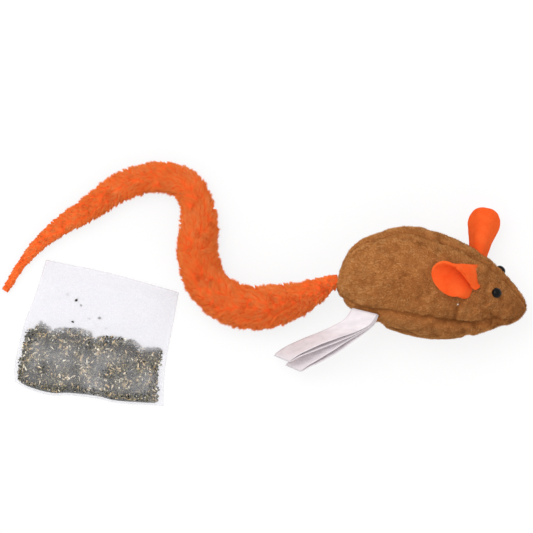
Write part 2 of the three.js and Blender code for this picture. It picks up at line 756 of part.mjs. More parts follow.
function labelFrame(share, drop) {
  const seam = (shift) => {
    const along = LABEL_ALONG_SHARE + shift;
    return bodySurface(along, seamAngles(along).rightBelly);
  };
  const outward = bodyNormal(LABEL_ALONG_SHARE, labelSeam).transformDirection(lie);
  const root = onTable(seam(0)).addScaledVector(outward, SEAT_GAP);
  const rootAcross = onTable(seam(labelReach)).sub(onTable(seam(-labelReach))).normalize();
  const route = new THREE.CatmullRomCurve3(LABEL_ROUTE.map(({ x, y, z }) => new THREE.Vector3(x, y, z)));
  const twist = THREE.MathUtils.smoothstep(share, 0, LABEL_TWIST_SHARE);
  const across = rootAcross.lerp(LABEL_END_DIRECTION, twist).normalize();
  const face = new THREE.Vector3().crossVectors(route.getTangentAt(share), across).normalize();
  const middle = root.add(route.getPointAt(share)).addScaledVector(face, -drop(share));
  return { middle, across, face };
}

function labelGeometry(drop) {
  const steps = range(LABEL_STEPS);
  const strip = [
    ...steps.map((share) => ({ share, side: 1 })),
    ...steps.toReversed().map((share) => ({ share, side: -1 })),
  ];
  const layer = (lift) =>
    strip.map(({ share, side }) => {
      const { middle, across, face } = labelFrame(share, drop);
      const height = side * (labelSpread(share) + lift);
      return [-0.5, 0, 0.5].map((w) =>
        middle.clone().addScaledVector(face, height).addScaledVector(across, w * LABEL_WIDTH),
      );
    });
  return sheetGeometry(layer(SATIN / 2), layer(-SATIN / 2));
}

// Sachet, in the table's frame

function sachetPoint(across, down, height) {
  const width = THREE.MathUtils.lerp(SACHET_TOP_WIDTH, SACHET_BOTTOM_WIDTH, down);
  return new THREE.Vector3((across - 0.5) * width, (0.5 - down) * SACHET_HEIGHT, height);
}

// Height of the leaf under a point of the sachet: full in the lower part, none towards the top and the seal
function leafHeight(across, down) {
  const edge = SACHET_SEAL / SACHET_HEIGHT;
  const side = Math.min(across, 1 - across);
  const sides = THREE.MathUtils.smoothstep(side, edge, 4 * edge);
  const foot = THREE.MathUtils.smoothstep(1 - down, edge, 4 * edge);
  const top = THREE.MathUtils.smoothstep(down, 1 - LEAF_SHARE - edge, 1 - LEAF_SHARE + 3 * edge);
  return LEAF_HEIGHT * sides * foot * top;
}

// The leaf fills whole steps of the sachet's grid, inside the seal and below the empty top
const leafRows = range(SACHET_STEPS).filter((down) => down >= 1 - LEAF_SHARE && down < 1);
const leafColumns = range(SACHET_STEPS).filter((across) => across > 0 && across < 1);
const SACHET_FLOOR = NONWOVEN + SEAM_GAP;

function leafTop(across, down) {
  return SACHET_FLOOR + LEAF_LEAST + leafHeight(across, down);
}

function sachetSheet(height) {
  const layer = (extra) =>
    range(SACHET_STEPS).map((down) =>
      range(SACHET_STEPS).map((across) => sachetPoint(across, down, height(across, down) + extra)),
    );
  return sheetGeometry(layer(NONWOVEN), layer(0));
}

function sachetTop() {
  return sachetSheet((across, down) => {
    const overLeaf = leafRows.includes(down) && leafColumns.includes(across);
    return overLeaf ? leafTop(across, down) + SEAM_GAP : SACHET_FLOOR;
  });
}

function sachetBottom() {
  return sachetSheet(() => 0);
}

function leafGeometry() {
  const layer = (height) =>
    leafRows.map((down) => leafColumns.map((across) => sachetPoint(across, down, height(across, down))));
  return sheetGeometry(layer(leafTop), layer(() => SACHET_FLOOR));
}

// Assembly

const leftPanel = cut(panelGeometry("leftBelly", "spine", SIDE_COLUMNS), stemHole("left"));
const rightPanel = cut(panelGeometry("spine", "rightBelly", SIDE_COLUMNS), stemHole("right"));
const pocketHole = ringGeometry(bagRings(SEAM_GAP));
const bellyPanel = cut(panelGeometry("rightBelly", "leftBelly", BELLY_COLUMNS), pocketHole);

const mouse = new THREE.Group();
mouse.applyMatrix4(lie);
mouse.add(
  piece("side_panel_left", leftPanel, COLOURS.brownPlush, 0.95),
  piece("side_panel_right", rightPanel, COLOURS.brownPlush, 0.95),
  piece("belly_panel", bellyPanel, COLOURS.brownPlush, 0.95),
  piece("body_stuffing", stuffingGeometry(), COLOURS.fibre, 1),
  piece("catnip_pocket", pocketGeometry(), COLOURS.lining, 0.9),
  piece("belly_flap", flapGeometry(), COLOURS.brownPlush, 0.95),
  piece("flap_hook_strip", closureStrip(STRIP_THICKNESS + 2 * SEAT_GAP), COLOURS.hook, 0.8),
  piece("belly_loop_strip", closureStrip(SEAT_GAP), COLOURS.loop, 0.95),
);
for (const side of ["left", "right"]) {
  mouse.add(
    piece(`eye_${side}`, eyeGeometry(side), COLOURS.bead, 0.15),
    piece(`eye_washer_${side}`, washerGeometry(side), COLOURS.washer, 0.5),
    piece(`ear_${side}`, earGeometry(side), COLOURS.orangeFelt, 0.95),
  );
}

const sachet = new THREE.Group();
sachet.position.set(tailHinge.x + SACHET_PLACE.x, tailHinge.y + SACHET_PLACE.y, 0);
sachet.rotation.z = radians(SACHET_TURN);
sachet.add(
  piece("sachet_top_sheet", sachetTop(), COLOURS.nonwoven, 0.8),
  piece("sachet_bottom_sheet", sachetBottom(), COLOURS.nonwoven, 0.8),
  piece("catnip_leaf", leafGeometry(), COLOURS.leaf, 1),
);

const catnipMouse = new THREE.Group();
catnipMouse.add(
  mouse,
  piece("tail_cover", tailCoverGeometry(), COLOURS.orangePlush, 1),
  piece("tail_filling", tailFillingGeometry(), COLOURS.fibre, 1),
  piece("sewn_label", labelGeometry(() => 0), COLOURS.satin, 0.35),
  piece("care_label", labelGeometry(careLabelDrop), COLOURS.satin, 0.35),
  sachet,
);

export default catnipMouse;
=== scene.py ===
import logging
import math
from dataclasses import dataclass
from enum import Enum
from functools import cached_property

import bmesh
import bpy
import numpy as np
from mathutils import Matrix, Vector
from mathutils.kdtree import KDTree
from numpy.linalg import norm
from numpy.random import Generator, default_rng

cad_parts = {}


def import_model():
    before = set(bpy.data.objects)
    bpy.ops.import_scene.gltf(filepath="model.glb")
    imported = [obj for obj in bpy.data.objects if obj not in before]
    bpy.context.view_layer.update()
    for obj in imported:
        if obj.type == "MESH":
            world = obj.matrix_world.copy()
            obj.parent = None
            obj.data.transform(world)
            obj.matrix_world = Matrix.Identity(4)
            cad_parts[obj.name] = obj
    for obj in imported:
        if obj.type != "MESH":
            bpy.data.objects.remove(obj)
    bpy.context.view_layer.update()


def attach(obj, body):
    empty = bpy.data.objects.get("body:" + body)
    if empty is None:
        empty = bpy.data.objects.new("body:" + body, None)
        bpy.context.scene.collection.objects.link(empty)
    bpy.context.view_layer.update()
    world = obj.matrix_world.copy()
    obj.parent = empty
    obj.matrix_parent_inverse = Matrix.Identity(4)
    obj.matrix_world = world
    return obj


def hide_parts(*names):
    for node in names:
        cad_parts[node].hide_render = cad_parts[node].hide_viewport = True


# A stuffed catnip mouse with its sachet of leaf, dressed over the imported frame. Sizes are in millimetres,
# in the same frame as the solids, and become metres only where a mesh is made.
MM = 0.001
LOG = logging.getLogger("catnip_mouse")
FULL_TURN = 2 * math.pi
UP = np.array([0.0, 0.0, 1.0])
# The waves of a random surface, and the steps of a smooth line from point to point
WAVES = 9
LINE_STEPS = 40
# A fibre is a spike: its sides, its share under the cloth, and how round it is shaded
SPIKE_SIDES = 3
SPIKE_SUNK = 0.12
SPIKE_ROUND = 0.35
WIDTH_SPREAD = (0.7, 1.2)
TONE_CELLS = 24
# The short plush of body and flap: how its fibres stand and stray, their width and their patches' size
PLUSH_STAND = 0.8
PLUSH_STRAY = 0.3
PLUSH_WIDTH = 0.24
PLUSH_PATCH = 7.0
WELD = 1e-6
FLOOR_CLEAR = 0.03
FILL_LUMP = 0.35
FILL_LUMP_SIZE = 6.0

Array = np.ndarray
Arrays = tuple[np.ndarray, ...]
Pair = tuple[float, float]
Triple = tuple[float, float, float]
Values = tuple[float, ...]
Line = tuple[Pair, ...]
Stops = tuple[tuple[float, str], ...]
Piece = bpy.types.Object
Tree = bpy.types.NodeTree
Socket = bpy.types.NodeSocket


class Body(Enum):
    """The bodies of the frame that pieces ride on."""

    MOUSE = "mouse"
    TAIL = "tail"
    LEFT_EAR = "left_ear"
    RIGHT_EAR = "right_ear"
    LABELS = "labels"
    FLAP = "flap"
    SACHET = "sachet"


class Side(Enum):
    """The mouse's own left and right."""

    LEFT = "left"
    RIGHT = "right"

    def angle(self, raised: float) -> Array:
        """The angle of the body's form at some degrees above this side."""
        turn = math.radians(raised)
        return np.array(turn if self is Side.LEFT else math.pi - turn)


class Panel(Enum):
    """The panels of the body, each with the seams that it starts and ends at."""

    LEFT = ("left_belly", "spine")
    RIGHT = ("spine", "right_belly")
    BELLY = ("right_belly", "left_belly")


def unit(vectors: Array) -> Array:
    """Vectors of length one."""
    return vectors / np.maximum(norm(vectors, axis=-1, keepdims=True), 1e-9)


def smoothstep(value: Array, low: float, high: float) -> Array:
    """A smooth rise from 0 at low to 1 at high."""
    share = np.clip((np.asarray(value, float) - low) / (high - low), 0, 1)
    return share * share * (3 - 2 * share)


def even(steps: int) -> Array:
    """Even steps from 0 to 1."""
    return np.linspace(0, 1, steps + 1)


def bell(away: Array, width: float) -> Array:
    """A smooth fall from 1 at no distance."""
    return np.exp(-((away / width) ** 2))


def spline(values: Values, share: Array) -> Array:
    """A smooth curve through evenly spaced values.

    Args:
        values: the values at equal steps.
        share: places from the first value, 0, to the last, 1.
    Returns:
        The curve's values there.
    """
    known = np.asarray(values, float)
    last = len(known) - 1
    place = np.clip(np.asarray(share, float), 0, 1) * last
    first = np.minimum(place.astype(int), last - 1)
    t = place - first
    before, start = known[np.maximum(first - 1, 0)], known[first]
    end, after = known[first + 1], known[np.minimum(first + 2, last)]
    leave, arrive = (end - before) / 2, (after - start) / 2
    bend = 3 * (end - start) - 2 * leave - arrive
    return start + t * (leave + t * (bend + t * (2 * (start - end) + leave + arrive)))


def smooth_line(points: Array, shares: Array) -> Arrays:
    """A smooth line through points, read at shares of its length.

    Args:
        points: the points that it passes through.
        shares: places from its start, 0, to its end, 1.
    Returns:
        The places, and how far each is through the points, from 0 to 1.
    """
    known = np.asarray(points, float)
    ends = np.vstack([2 * known[0] - known[1], known, 2 * known[-1] - known[-2]])
    t = np.linspace(0, 1, LINE_STEPS, endpoint=False)[:, None]
    parts = []
    for a, b, c, d in zip(ends, ends[1:], ends[2:], ends[3:]):
        near, here, far = (math.sqrt(norm(q - p)) for p, q in ((a, b), (b, c), (c, d)))
        leave = here * ((b - a) / near - (c - a) / (near + here) + (c - b) / here)
        arrive = here * ((c - b) / here - (d - b) / (here + far) + (d - c) / far)
        bend = 3 * (c - b) - 2 * leave - arrive
        parts.append(b + t * (leave + t * (bend + t * (2 * (b - c) + leave + arrive))))
    line = np.vstack([*parts, known[-1:]])
    run = np.concatenate([[0], np.cumsum(norm(np.diff(line, axis=0), axis=1))])
    wanted = np.asarray(shares) * run[-1]
    through = np.interp(wanted, run, np.linspace(0, 1, len(line)))
    return np.stack([np.interp(wanted, run, axis) for axis in line.T], axis=-1), through


def ripple(points: Array, size: float, seed: int) -> Array:
    """A smooth random height about 0, mostly between -1 and 1.

    Args:
        points: the places that it is wanted at.
        size: the length of its waves.
        seed: which of such surfaces it is.
    Returns:
        One height for each place.
    """
    rng = default_rng(seed)
    ways = unit(rng.normal(size=(WAVES, 3))) * rng.uniform(0.7, 1.5, (WAVES, 1)) * FULL_TURN / size
    waves = np.sin(points @ ways.T + rng.uniform(0, FULL_TURN, WAVES))
    return waves.sum(axis=-1) / math.sqrt(WAVES * 2)


def sample(grid: Array, rows: Array, columns: Array) -> Array:
    """A grid's values between its points, by straight lines."""
    row = np.minimum(rows.astype(int), grid.shape[0] - 2)
    column = np.minimum(columns.astype(int), grid.shape[1] - 2)
    down, across = (rows - row)[..., None], (columns - column)[..., None]
    near = grid[row, column] * (1 - across) + grid[row, column + 1] * across
    far = grid[row + 1, column] * (1 - across) + grid[row + 1, column + 1] * across
    return near * (1 - down) + far * down


def cell_areas(grid: Array) -> Array:
    """The area of each cell of a grid of points."""
    across, down = np.diff(grid, axis=1)[:-1], np.diff(grid, axis=0)[:, :-1]
    return norm(np.cross(down, across), axis=2)


def scatter(grid: Array, count: int, rng: Generator) -> Arrays:
    """Random places on a grid of points, even over its area.

    Args:
        grid: rows of points.
        count: how many places.
        rng: the source of chance.
    Returns:
        The places as rows and columns of the grid, with parts of a step.
    """
    area = cell_areas(grid).ravel()
    cell = rng.choice(area.size, count, p=area / area.sum())
    row, column = np.divmod(cell, grid.shape[1] - 1)
    return row + rng.random(count), column + rng.random(count)


def normals_of(grid: Array) -> Array:
    """The directions that a grid of points faces."""
    return unit(np.cross(np.gradient(grid, axis=1), np.gradient(grid, axis=0)))


def lengths(grid: Array, axis: int) -> Array:
    """The lengths of a grid's lines of points that run along one of its axes."""
    return norm(np.diff(grid, axis=axis), axis=-1).sum(axis=axis)


def rooted(grid: Array, count: int, rng: Generator) -> Arrays:
    """Roots of fibres on a face: their rows, columns and places, and the way it faces there."""
    rows, columns = scatter(grid, count, rng)
    return rows, columns, sample(grid, rows, columns), unit(sample(normals_of(grid), rows, columns))


def brushing(roots: Array, size: float, seed: int) -> Array:
    """Which way a hand has brushed the pile at its roots, in patches of a size."""
    return np.stack([ripple(roots, size, seed + k) for k in range(3)], axis=1)


def leaning(facing: Array, stand: float | Array, lean: Array) -> Array:
    """Directions of fibres that stand off a face by a share and lean along it."""
    return unit(facing * stand + lean - facing * (lean * facing).sum(axis=1, keepdims=True))


def linked(name: str, data: bpy.types.ID) -> Piece:
    """An object of the scene that holds a mesh, a lamp or a camera."""
    piece = bpy.data.objects.new(name, data)
    bpy.context.scene.collection.objects.link(piece)
    return piece


def mark(mesh: bpy.types.Mesh, name: str, values: Array) -> None:
    """Gives each point of a mesh a value."""
    mesh.attributes.new(name, "FLOAT", "POINT").data.foreach_set("value", values)


def mesh_object(name: str, made: bmesh.types.BMesh) -> Piece:
    """Turns a bmesh to a smooth object in the scene."""
    for face in made.faces:
        face.smooth = True
    mesh = bpy.data.meshes.new(name)
    made.to_mesh(mesh)
    made.free()
    return linked(name, mesh)


def sheet_bmesh(grid: Array, weld: bool = False) -> bmesh.types.BMesh:
    """A surface through a grid of points.

    Args:
        grid: rows of points in millimetres. The surface faces columns crossed with rows.
        weld: whether points that fall together become one.
    Returns:
        The surface.
    """
    rows, columns = grid.shape[:2]
    made = bmesh.new()
    bmesh.ops.create_grid(made, x_segments=columns - 1, y_segments=rows - 1, size=1)
    for vert, place in zip(made.verts, grid.reshape(-1, 3) * MM):
        vert.co = place
    if weld:
        bmesh.ops.remove_doubles(made, verts=made.verts, dist=WELD)
    return made


def thicken(piece: Piece, thickness: float, offset: float) -> None:
    """Gives a surface a thickness: under it at an offset of -1, on both sides at 0."""
    wall = piece.modifiers.new("thickness", "SOLIDIFY")
    wall.thickness = thickness * MM
    wall.offset = offset


def pile_object(name: str, roots: Array, ways: Array, widths: Array, facing: Array, tones: Array) -> Piece:
    """A pile of fibres, each a three-sided spike that is shaded as the cloth under it.

    Args:
        name: the piece's name.
        roots: where each fibre leaves the cloth.
        ways: from its root to its tip.
        widths: its thickness at the root.
        facing: the way that the cloth faces there.
        tones: its shade, from 0, dark, to 1, pale.
    Returns:
        The pile, with a tone and a rise from root to tip at each point.
    """
    count = len(roots)
    side = unit(np.cross(ways, default_rng(count).normal(size=(count, 3))))
    turned = unit(np.cross(ways, side))
    angles = [k * FULL_TURN / SPIKE_SIDES for k in range(SPIKE_SIDES)]
    round_it = [math.cos(a) * side + math.sin(a) * turned for a in angles]
    places = [roots - SPIKE_SUNK * ways + way * widths[:, None] / 2 for way in round_it]
    places = np.stack([*places, roots + ways], axis=1)
    places[..., 2] = np.maximum(places[..., 2], FLOOR_CLEAR)
    shading = unit(np.stack([*(SPIKE_ROUND * way + facing for way in round_it), facing], axis=1))
    spike = np.array([[k, (k + 1) % SPIKE_SIDES, SPIKE_SIDES] for k in range(SPIKE_SIDES)])
    points = SPIKE_SIDES + 1
    corners = (np.arange(count)[:, None, None] * points + spike).ravel()
    mesh = bpy.data.meshes.new(name)
    mesh.vertices.add(points * count)
    mesh.vertices.foreach_set("co", (places * MM).ravel())
    mesh.loops.add(corners.size)
    mesh.loops.foreach_set("vertex_index", corners)
    mesh.polygons.add(SPIKE_SIDES * count)
    mesh.polygons.foreach_set("loop_start", np.arange(0, corners.size, 3))
    mesh.polygons.foreach_set("use_smooth", np.ones(SPIKE_SIDES * count, bool))
    mesh.update(calc_edges=True)
    mesh.normals_split_custom_set_from_vertices(shading.reshape(-1, 3))
    cell = np.round(np.clip(tones, 0, 1) * (TONE_CELLS**2 - 1))
    mark(mesh, "tone", np.repeat(cell / (TONE_CELLS**2 - 1), points))
    mark(mesh, "rise", np.tile([0.0] * SPIKE_SIDES + [1.0], count))
    # Fibres of one tone share one cell of the map, so that a baked picture holds them all
    chart = np.array([[0.15, 0.1], [0.85, 0.1], [0.5, 0.9]])
    origin = np.stack([cell % TONE_CELLS, cell // TONE_CELLS], axis=1)
    charts = (origin[:, None, None] + chart) / TONE_CELLS
    laid = np.broadcast_to(charts, (count, SPIKE_SIDES, 3, 2))
    mesh.uv_layers.new(name="OFBake").data.foreach_set("uv", laid.ravel())
    return linked(name, mesh)


def gather(roots: Array, ways: Array, locks: int, pull: float, rng: Generator) -> Arrays:
    """Draws fibres together into locks.

    Args:
        roots: the fibres' roots.
        ways: from each root to its tip.
        locks: how many locks.
        pull: how far a tip goes towards its lock's tip, from 0 to 1.
        rng: the source of chance.
    Returns:
        The new ways, a chance from 0 to 1 that a lock's fibres share, and how far each fibre is from
        its lock's middle.
    """
    chosen = rng.choice(len(roots), locks, replace=False)
    tree = KDTree(locks)
    for k, place in enumerate(roots[chosen]):
        tree.insert(place, k)
    tree.balance()
    nearest = [tree.find(place) for place in roots]
    mine = np.array([found[1] for found in nearest])
    away = np.array([found[2] for found in nearest])
    lead = chosen[mine]
    drawn = ways * (1 - pull) + pull * (roots[lead] + ways[lead] - roots)
    drawn = unit(drawn) * norm(ways, axis=1, keepdims=True)
    return drawn, rng.random(locks)[mine], away


def linear(code: str) -> tuple[float, float, float, float]:
    """Turns an sRGB hex colour to linear light, with an alpha of 1."""
    parts = [int(code[k : k + 2], 16) / 255 for k in (0, 2, 4)]
    bent = [c / 12.92 if c <= 0.04045 else ((c + 0.055) / 1.055) ** 2.4 for c in parts]
    return (*bent, 1.0)


def add_node(
    tree: Tree,
    kind: str,
    inputs: dict[str | int, object] | None = None,
    ramp: Stops = (),
    **settings: object,
) -> bpy.types.Node:
    """Adds a node with its settings and links.

    Args:
        tree: the material's or world's nodes.
        kind: the node's type.
        inputs: for each input, an output to link to it or a value.
        ramp: places and hex colours of a colour ramp.
        settings: the node's other settings.
    Returns:
        The node.
    """
    made = tree.nodes.new(kind)
    for name, value in settings.items():
        setattr(made, name, value)
    for name, value in (inputs or {}).items():
        if isinstance(value, Socket):
            tree.links.new(value, made.inputs[name])
        else:
            made.inputs[name].default_value = value
    for k, (place, code) in enumerate(ramp):
        stops = made.color_ramp.elements
        stop = stops[k] if k < 2 else stops.new(place)
        stop.position = place
        stop.color = linear(code)
    return made


def reckon(tree: Tree, operation: str, *values: object) -> Socket:
    """The outcome of a sum of outputs and numbers."""
    return add_node(tree, "ShaderNodeMath", dict(enumerate(values)), operation=operation).outputs[0]


def attribute(tree: Tree, name: str) -> Socket:
    """A value that a mesh has at each of its points."""
    return add_node(tree, "ShaderNodeAttribute", attribute_name=name).outputs["Fac"]


def noise(tree: Tree, place: Socket, size: float, **more: float) -> Socket:
    """A random pattern of patches of a size."""
    inputs = {"Vector": place, "Scale": 1 / (size * MM), **more}
    return add_node(tree, "ShaderNodeTexNoise", inputs).outputs["Fac"]


def graded(tree: Tree, value: Socket, stops: Stops) -> Socket:
    """Colours that go with a value."""
    return add_node(tree, "ShaderNodeValToRGB", {"Fac": value}, stops).outputs["Color"]


def bumped(tree: Tree, height: Socket, strength: float, depth: float) -> Socket:
    """The way that a face with a fine relief faces."""
    inputs = {"Height": height, "Strength": strength, "Distance": depth * MM}
    return add_node(tree, "ShaderNodeBump", inputs).outputs["Normal"]


@dataclass(frozen=True)
class Finish:
    """A material by its common name, with what it shows all over."""

    name: str
    roughness: float
    gloss: float = 0.1
    sheen: float = 0.0
    extra: tuple[tuple[str, object], ...] = ()

    def inputs(self, tree: Tree) -> dict[str, object]:
        """The inputs that a kind of finish works out from its pattern."""
        raise NotImplementedError

    def material(self) -> bpy.types.Material:
        """The finish as a material, made once."""
        made = bpy.data.materials.get(self.name)
        if made is None:
            made = bpy.data.materials.new(self.name)
            made.use_nodes = True
            tree = made.node_tree
            tree.nodes.clear()
            inputs = {
                "Roughness": self.roughness,
                "Specular IOR Level": self.gloss,
                "Sheen Weight": self.sheen,
                **self.inputs(tree),
                **dict(self.extra),
            }
            surface = add_node(tree, "ShaderNodeBsdfPrincipled", inputs)
            add_node(tree, "ShaderNodeOutputMaterial", {"Surface": surface.outputs["BSDF"]})
        return made


@dataclass(frozen=True)
class Pile(Finish):
    """Cut and brushed pile: darker at the root, a painted shade deep in the pile, paler at the tip, and
    uneven from fibre to fibre.
    """

    root: str = ""
    tones: Stops = ()

    def inputs(self, tree: Tree) -> dict[str, object]:
        """Colour from each fibre's tone and from the height up it."""
        shade = graded(tree, attribute(tree, "tone"), self.tones)
        # The root colour near each fibre's root is a painted shade deep in the pile
        parts = {0: attribute(tree, "rise"), 6: linear(self.root), 7: shade}
        mixed = add_node(tree, "ShaderNodeMix", parts, data_type="RGBA")
        return {"Base Color": mixed.outputs[2], "Sheen Tint": linear(self.root)}


@dataclass(frozen=True)
class Cloth(Finish):
    """A cloth of matted or spun fibres: patches of tone and a fine, uneven tangle."""

    low: str = ""
    high: str = ""
    patch: float = 8.0
    fibre: float = 0.6
    relief: float = 0.15

    def inputs(self, tree: Tree) -> dict[str, object]:
        """Colour by patches and fibres, and a bump from the fibres."""
        place = add_node(tree, "ShaderNodeTexCoord").outputs["Object"]
        fibres = noise(tree, place, self.fibre, Detail=4.0, Distortion=1.2)
        mixed = reckon(tree, "MULTIPLY", noise(tree, place, self.patch), fibres)
        shade = graded(tree, mixed, ((0.12, self.low), (0.4, self.high)))
        return {"Base Color": shade, "Normal": bumped(tree, fibres, 0.6, self.relief)}


@dataclass(frozen=True)
class Woven(Finish):
    """A plain or satin weave: two sets of threads, drawn coarse enough to show."""

    low: str = ""
    high: str = ""
    thread: float = 0.5
    relief: float = 0.05
    patch: float = 6.0
    thread_share: float = 0.35

    def inputs(self, tree: Tree) -> dict[str, object]:
        """Threads along and across the piece's own map, which is in metres."""
        laid = add_node(tree, "ShaderNodeUVMap", uv_map="cloth").outputs["UV"]
        # The texture runs through 20 radians over a length of 1 at a scale of 1
        spread = {"Vector": laid, "Scale": 1 / (20 * self.thread * MM) * 2 * math.pi}
        threads = [add_node(tree, "ShaderNodeTexWave", spread, bands_direction=way) for way in ("X", "Y")]
        weave = reckon(tree, "MULTIPLY", *(thread.outputs["Fac"] for thread in threads))
        patches = noise(tree, laid, self.patch, Detail=3.0)
        uneven = reckon(tree, "MULTIPLY_ADD", weave, self.thread_share, patches)
        shade = graded(tree, uneven, ((0.3, self.low), (0.75, self.high)))
        return {"Base Color": shade, "Normal": bumped(tree, weave, 0.5, self.relief)}


@dataclass(frozen=True)
class Veil(Finish):
    """Spunbonded nonwoven: a thin white web of fibres that lets what touches it show through."""

    colour: str = ""
    shade: str = ""
    thin: float = 0.3
    dense: float = 0.6
    fibre: float = 0.7
    relief: float = 0.05
    web_share: float = 0.3
    most_cover: float = 1.2

    def inputs(self, tree: Tree) -> dict[str, object]:
        """A web of fibres that is denser in some places and lies off the leaf in others."""
        place = add_node(tree, "ShaderNodeTexCoord").outputs["Object"]
        web = noise(tree, place, self.fibre, Detail=5.0, Distortion=2.0)
        cover = reckon(tree, "MULTIPLY_ADD", web, self.web_share, attribute(tree, "lift"))
        levels = {"Value": cover, 1: 0.0, 2: self.most_cover, 3: self.thin, 4: self.dense}
        return {
            "Base Color": graded(tree, web, ((0.35, self.shade), (0.65, self.colour))),
            "Alpha": add_node(tree, "ShaderNodeMapRange", levels).outputs[0],
            "Normal": bumped(tree, web, 0.3, self.relief),
        }


# Short brown plush, its backing knit, and the same in long orange pile
BROWN_PILE = Pile(
    "brown_plush_pile", 0.9, sheen=0.1, root="b06a36", tones=((0, "a4642f"), (1, "f8c483"), (0.5, "dc9654"))
)
BROWN_KNIT = Cloth("brown_plush_knit", 0.95, low="8e5a30", high="b67a46", patch=9, fibre=0.9, relief=0.3)
ORANGE_PILE = Pile(
    "orange_plush_pile", 0.9, sheen=0.3, root="ff662a", tones=((0, "ff6e2e"), (1, "ffa866"), (0.5, "ff863c"))
)
ORANGE_KNIT = Cloth("orange_plush_knit", 0.95, low="f4561f", high="fa6c30", patch=9, fibre=0.9, relief=0.3)
ORANGE_FELT = Cloth(
    "pressed_orange_felt", 0.95, gloss=0.03, low="ea5420", high="f2682f", patch=6, fibre=0.45,
    extra=(("Sheen Weight", 0.22), ("Sheen Roughness", 0.5), ("Sheen Tint", linear("ff7a30"))),
)
SATIN = Woven(
    "satin_ribbon", 0.45, gloss=0.4, low="d3ccd0", high="ebe3e6", thread=0.45, extra=(("Anisotropic", 0.4),)
)
LINING = Woven("cotton_lining", 0.9, low="a3774c", high="c99b6a", thread=0.7, relief=0.12)
FIBRE_FILL = Cloth("polyester_fibre", 1.0, low="e4e0d6", high="faf8f2", patch=7, fibre=1.2, relief=0.6)
HOOK_TAPE = Cloth("nylon_hook_tape", 0.6, gloss=0.3, low="3d2715", high="664427", patch=3, fibre=0.5)
LOOP_TAPE = Cloth("nylon_loop_tape", 0.95, low="5a3c22", high="85603a", patch=3, fibre=0.5)
HOOKS = Pile("nylon_hooks", 0.5, gloss=0.3, root="4a301a", tones=((0, "50351e"), (1, "7c5634")))
LOOPS = Pile("nylon_loops", 0.9, root="5a3c22", tones=((0, "6a4829"), (1, "9a7046")))
BEAD = Cloth(
    "black_bead_plastic", 0.2, gloss=0.14, low="060607", high="0c0b0d", patch=2, fibre=1.5, relief=0.004
)
WASHER = Cloth("nylon_washer", 0.45, gloss=0.4, low="cfcabf", high="e6e2d8", patch=3, fibre=0.8, relief=0.02)
THREAD = Cloth("cotton_thread", 0.8, low="e2dccf", high="fbf8f0", patch=1, fibre=0.2, relief=0.05)
NONWOVEN = Veil("nonwoven_web", 0.8, colour="fbfafe", shade="efeef5", thin=0.03, dense=0.32)
LEAF_HEAP = Cloth("crushed_leaf", 1.0, low="1c1e17", high="44453b", patch=2, fibre=0.8, relief=0.8)
LEAF_BITS = Pile(
    "leaf_flakes", 0.95, root="4b4c3e",
    tones=((0, "191a13"), (1, "f8f0da"), (0.4, "4d4a3a"), (0.72, "8a8468"), (0.9, "cdb086")),
)


def settle(piece: Piece, finish: Finish, body: Body, slot: str, nodes: tuple[str, ...] = ()) -> None:
    """Gives a finished piece its material and its place in the frame.

    Args:
        piece: the piece, already where it belongs.
        finish: its material.
        body: the body that it rides on.
        slot: the record's material slot; not used.
        nodes: the solids that it stands for.
    """
    piece.data.materials.append(finish.material())
    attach(piece, body.value)
    if nodes:
        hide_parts(*nodes)
    LOG.info("%s: %d faces, rides on %s", piece.name, len(piece.data.polygons), body.value)


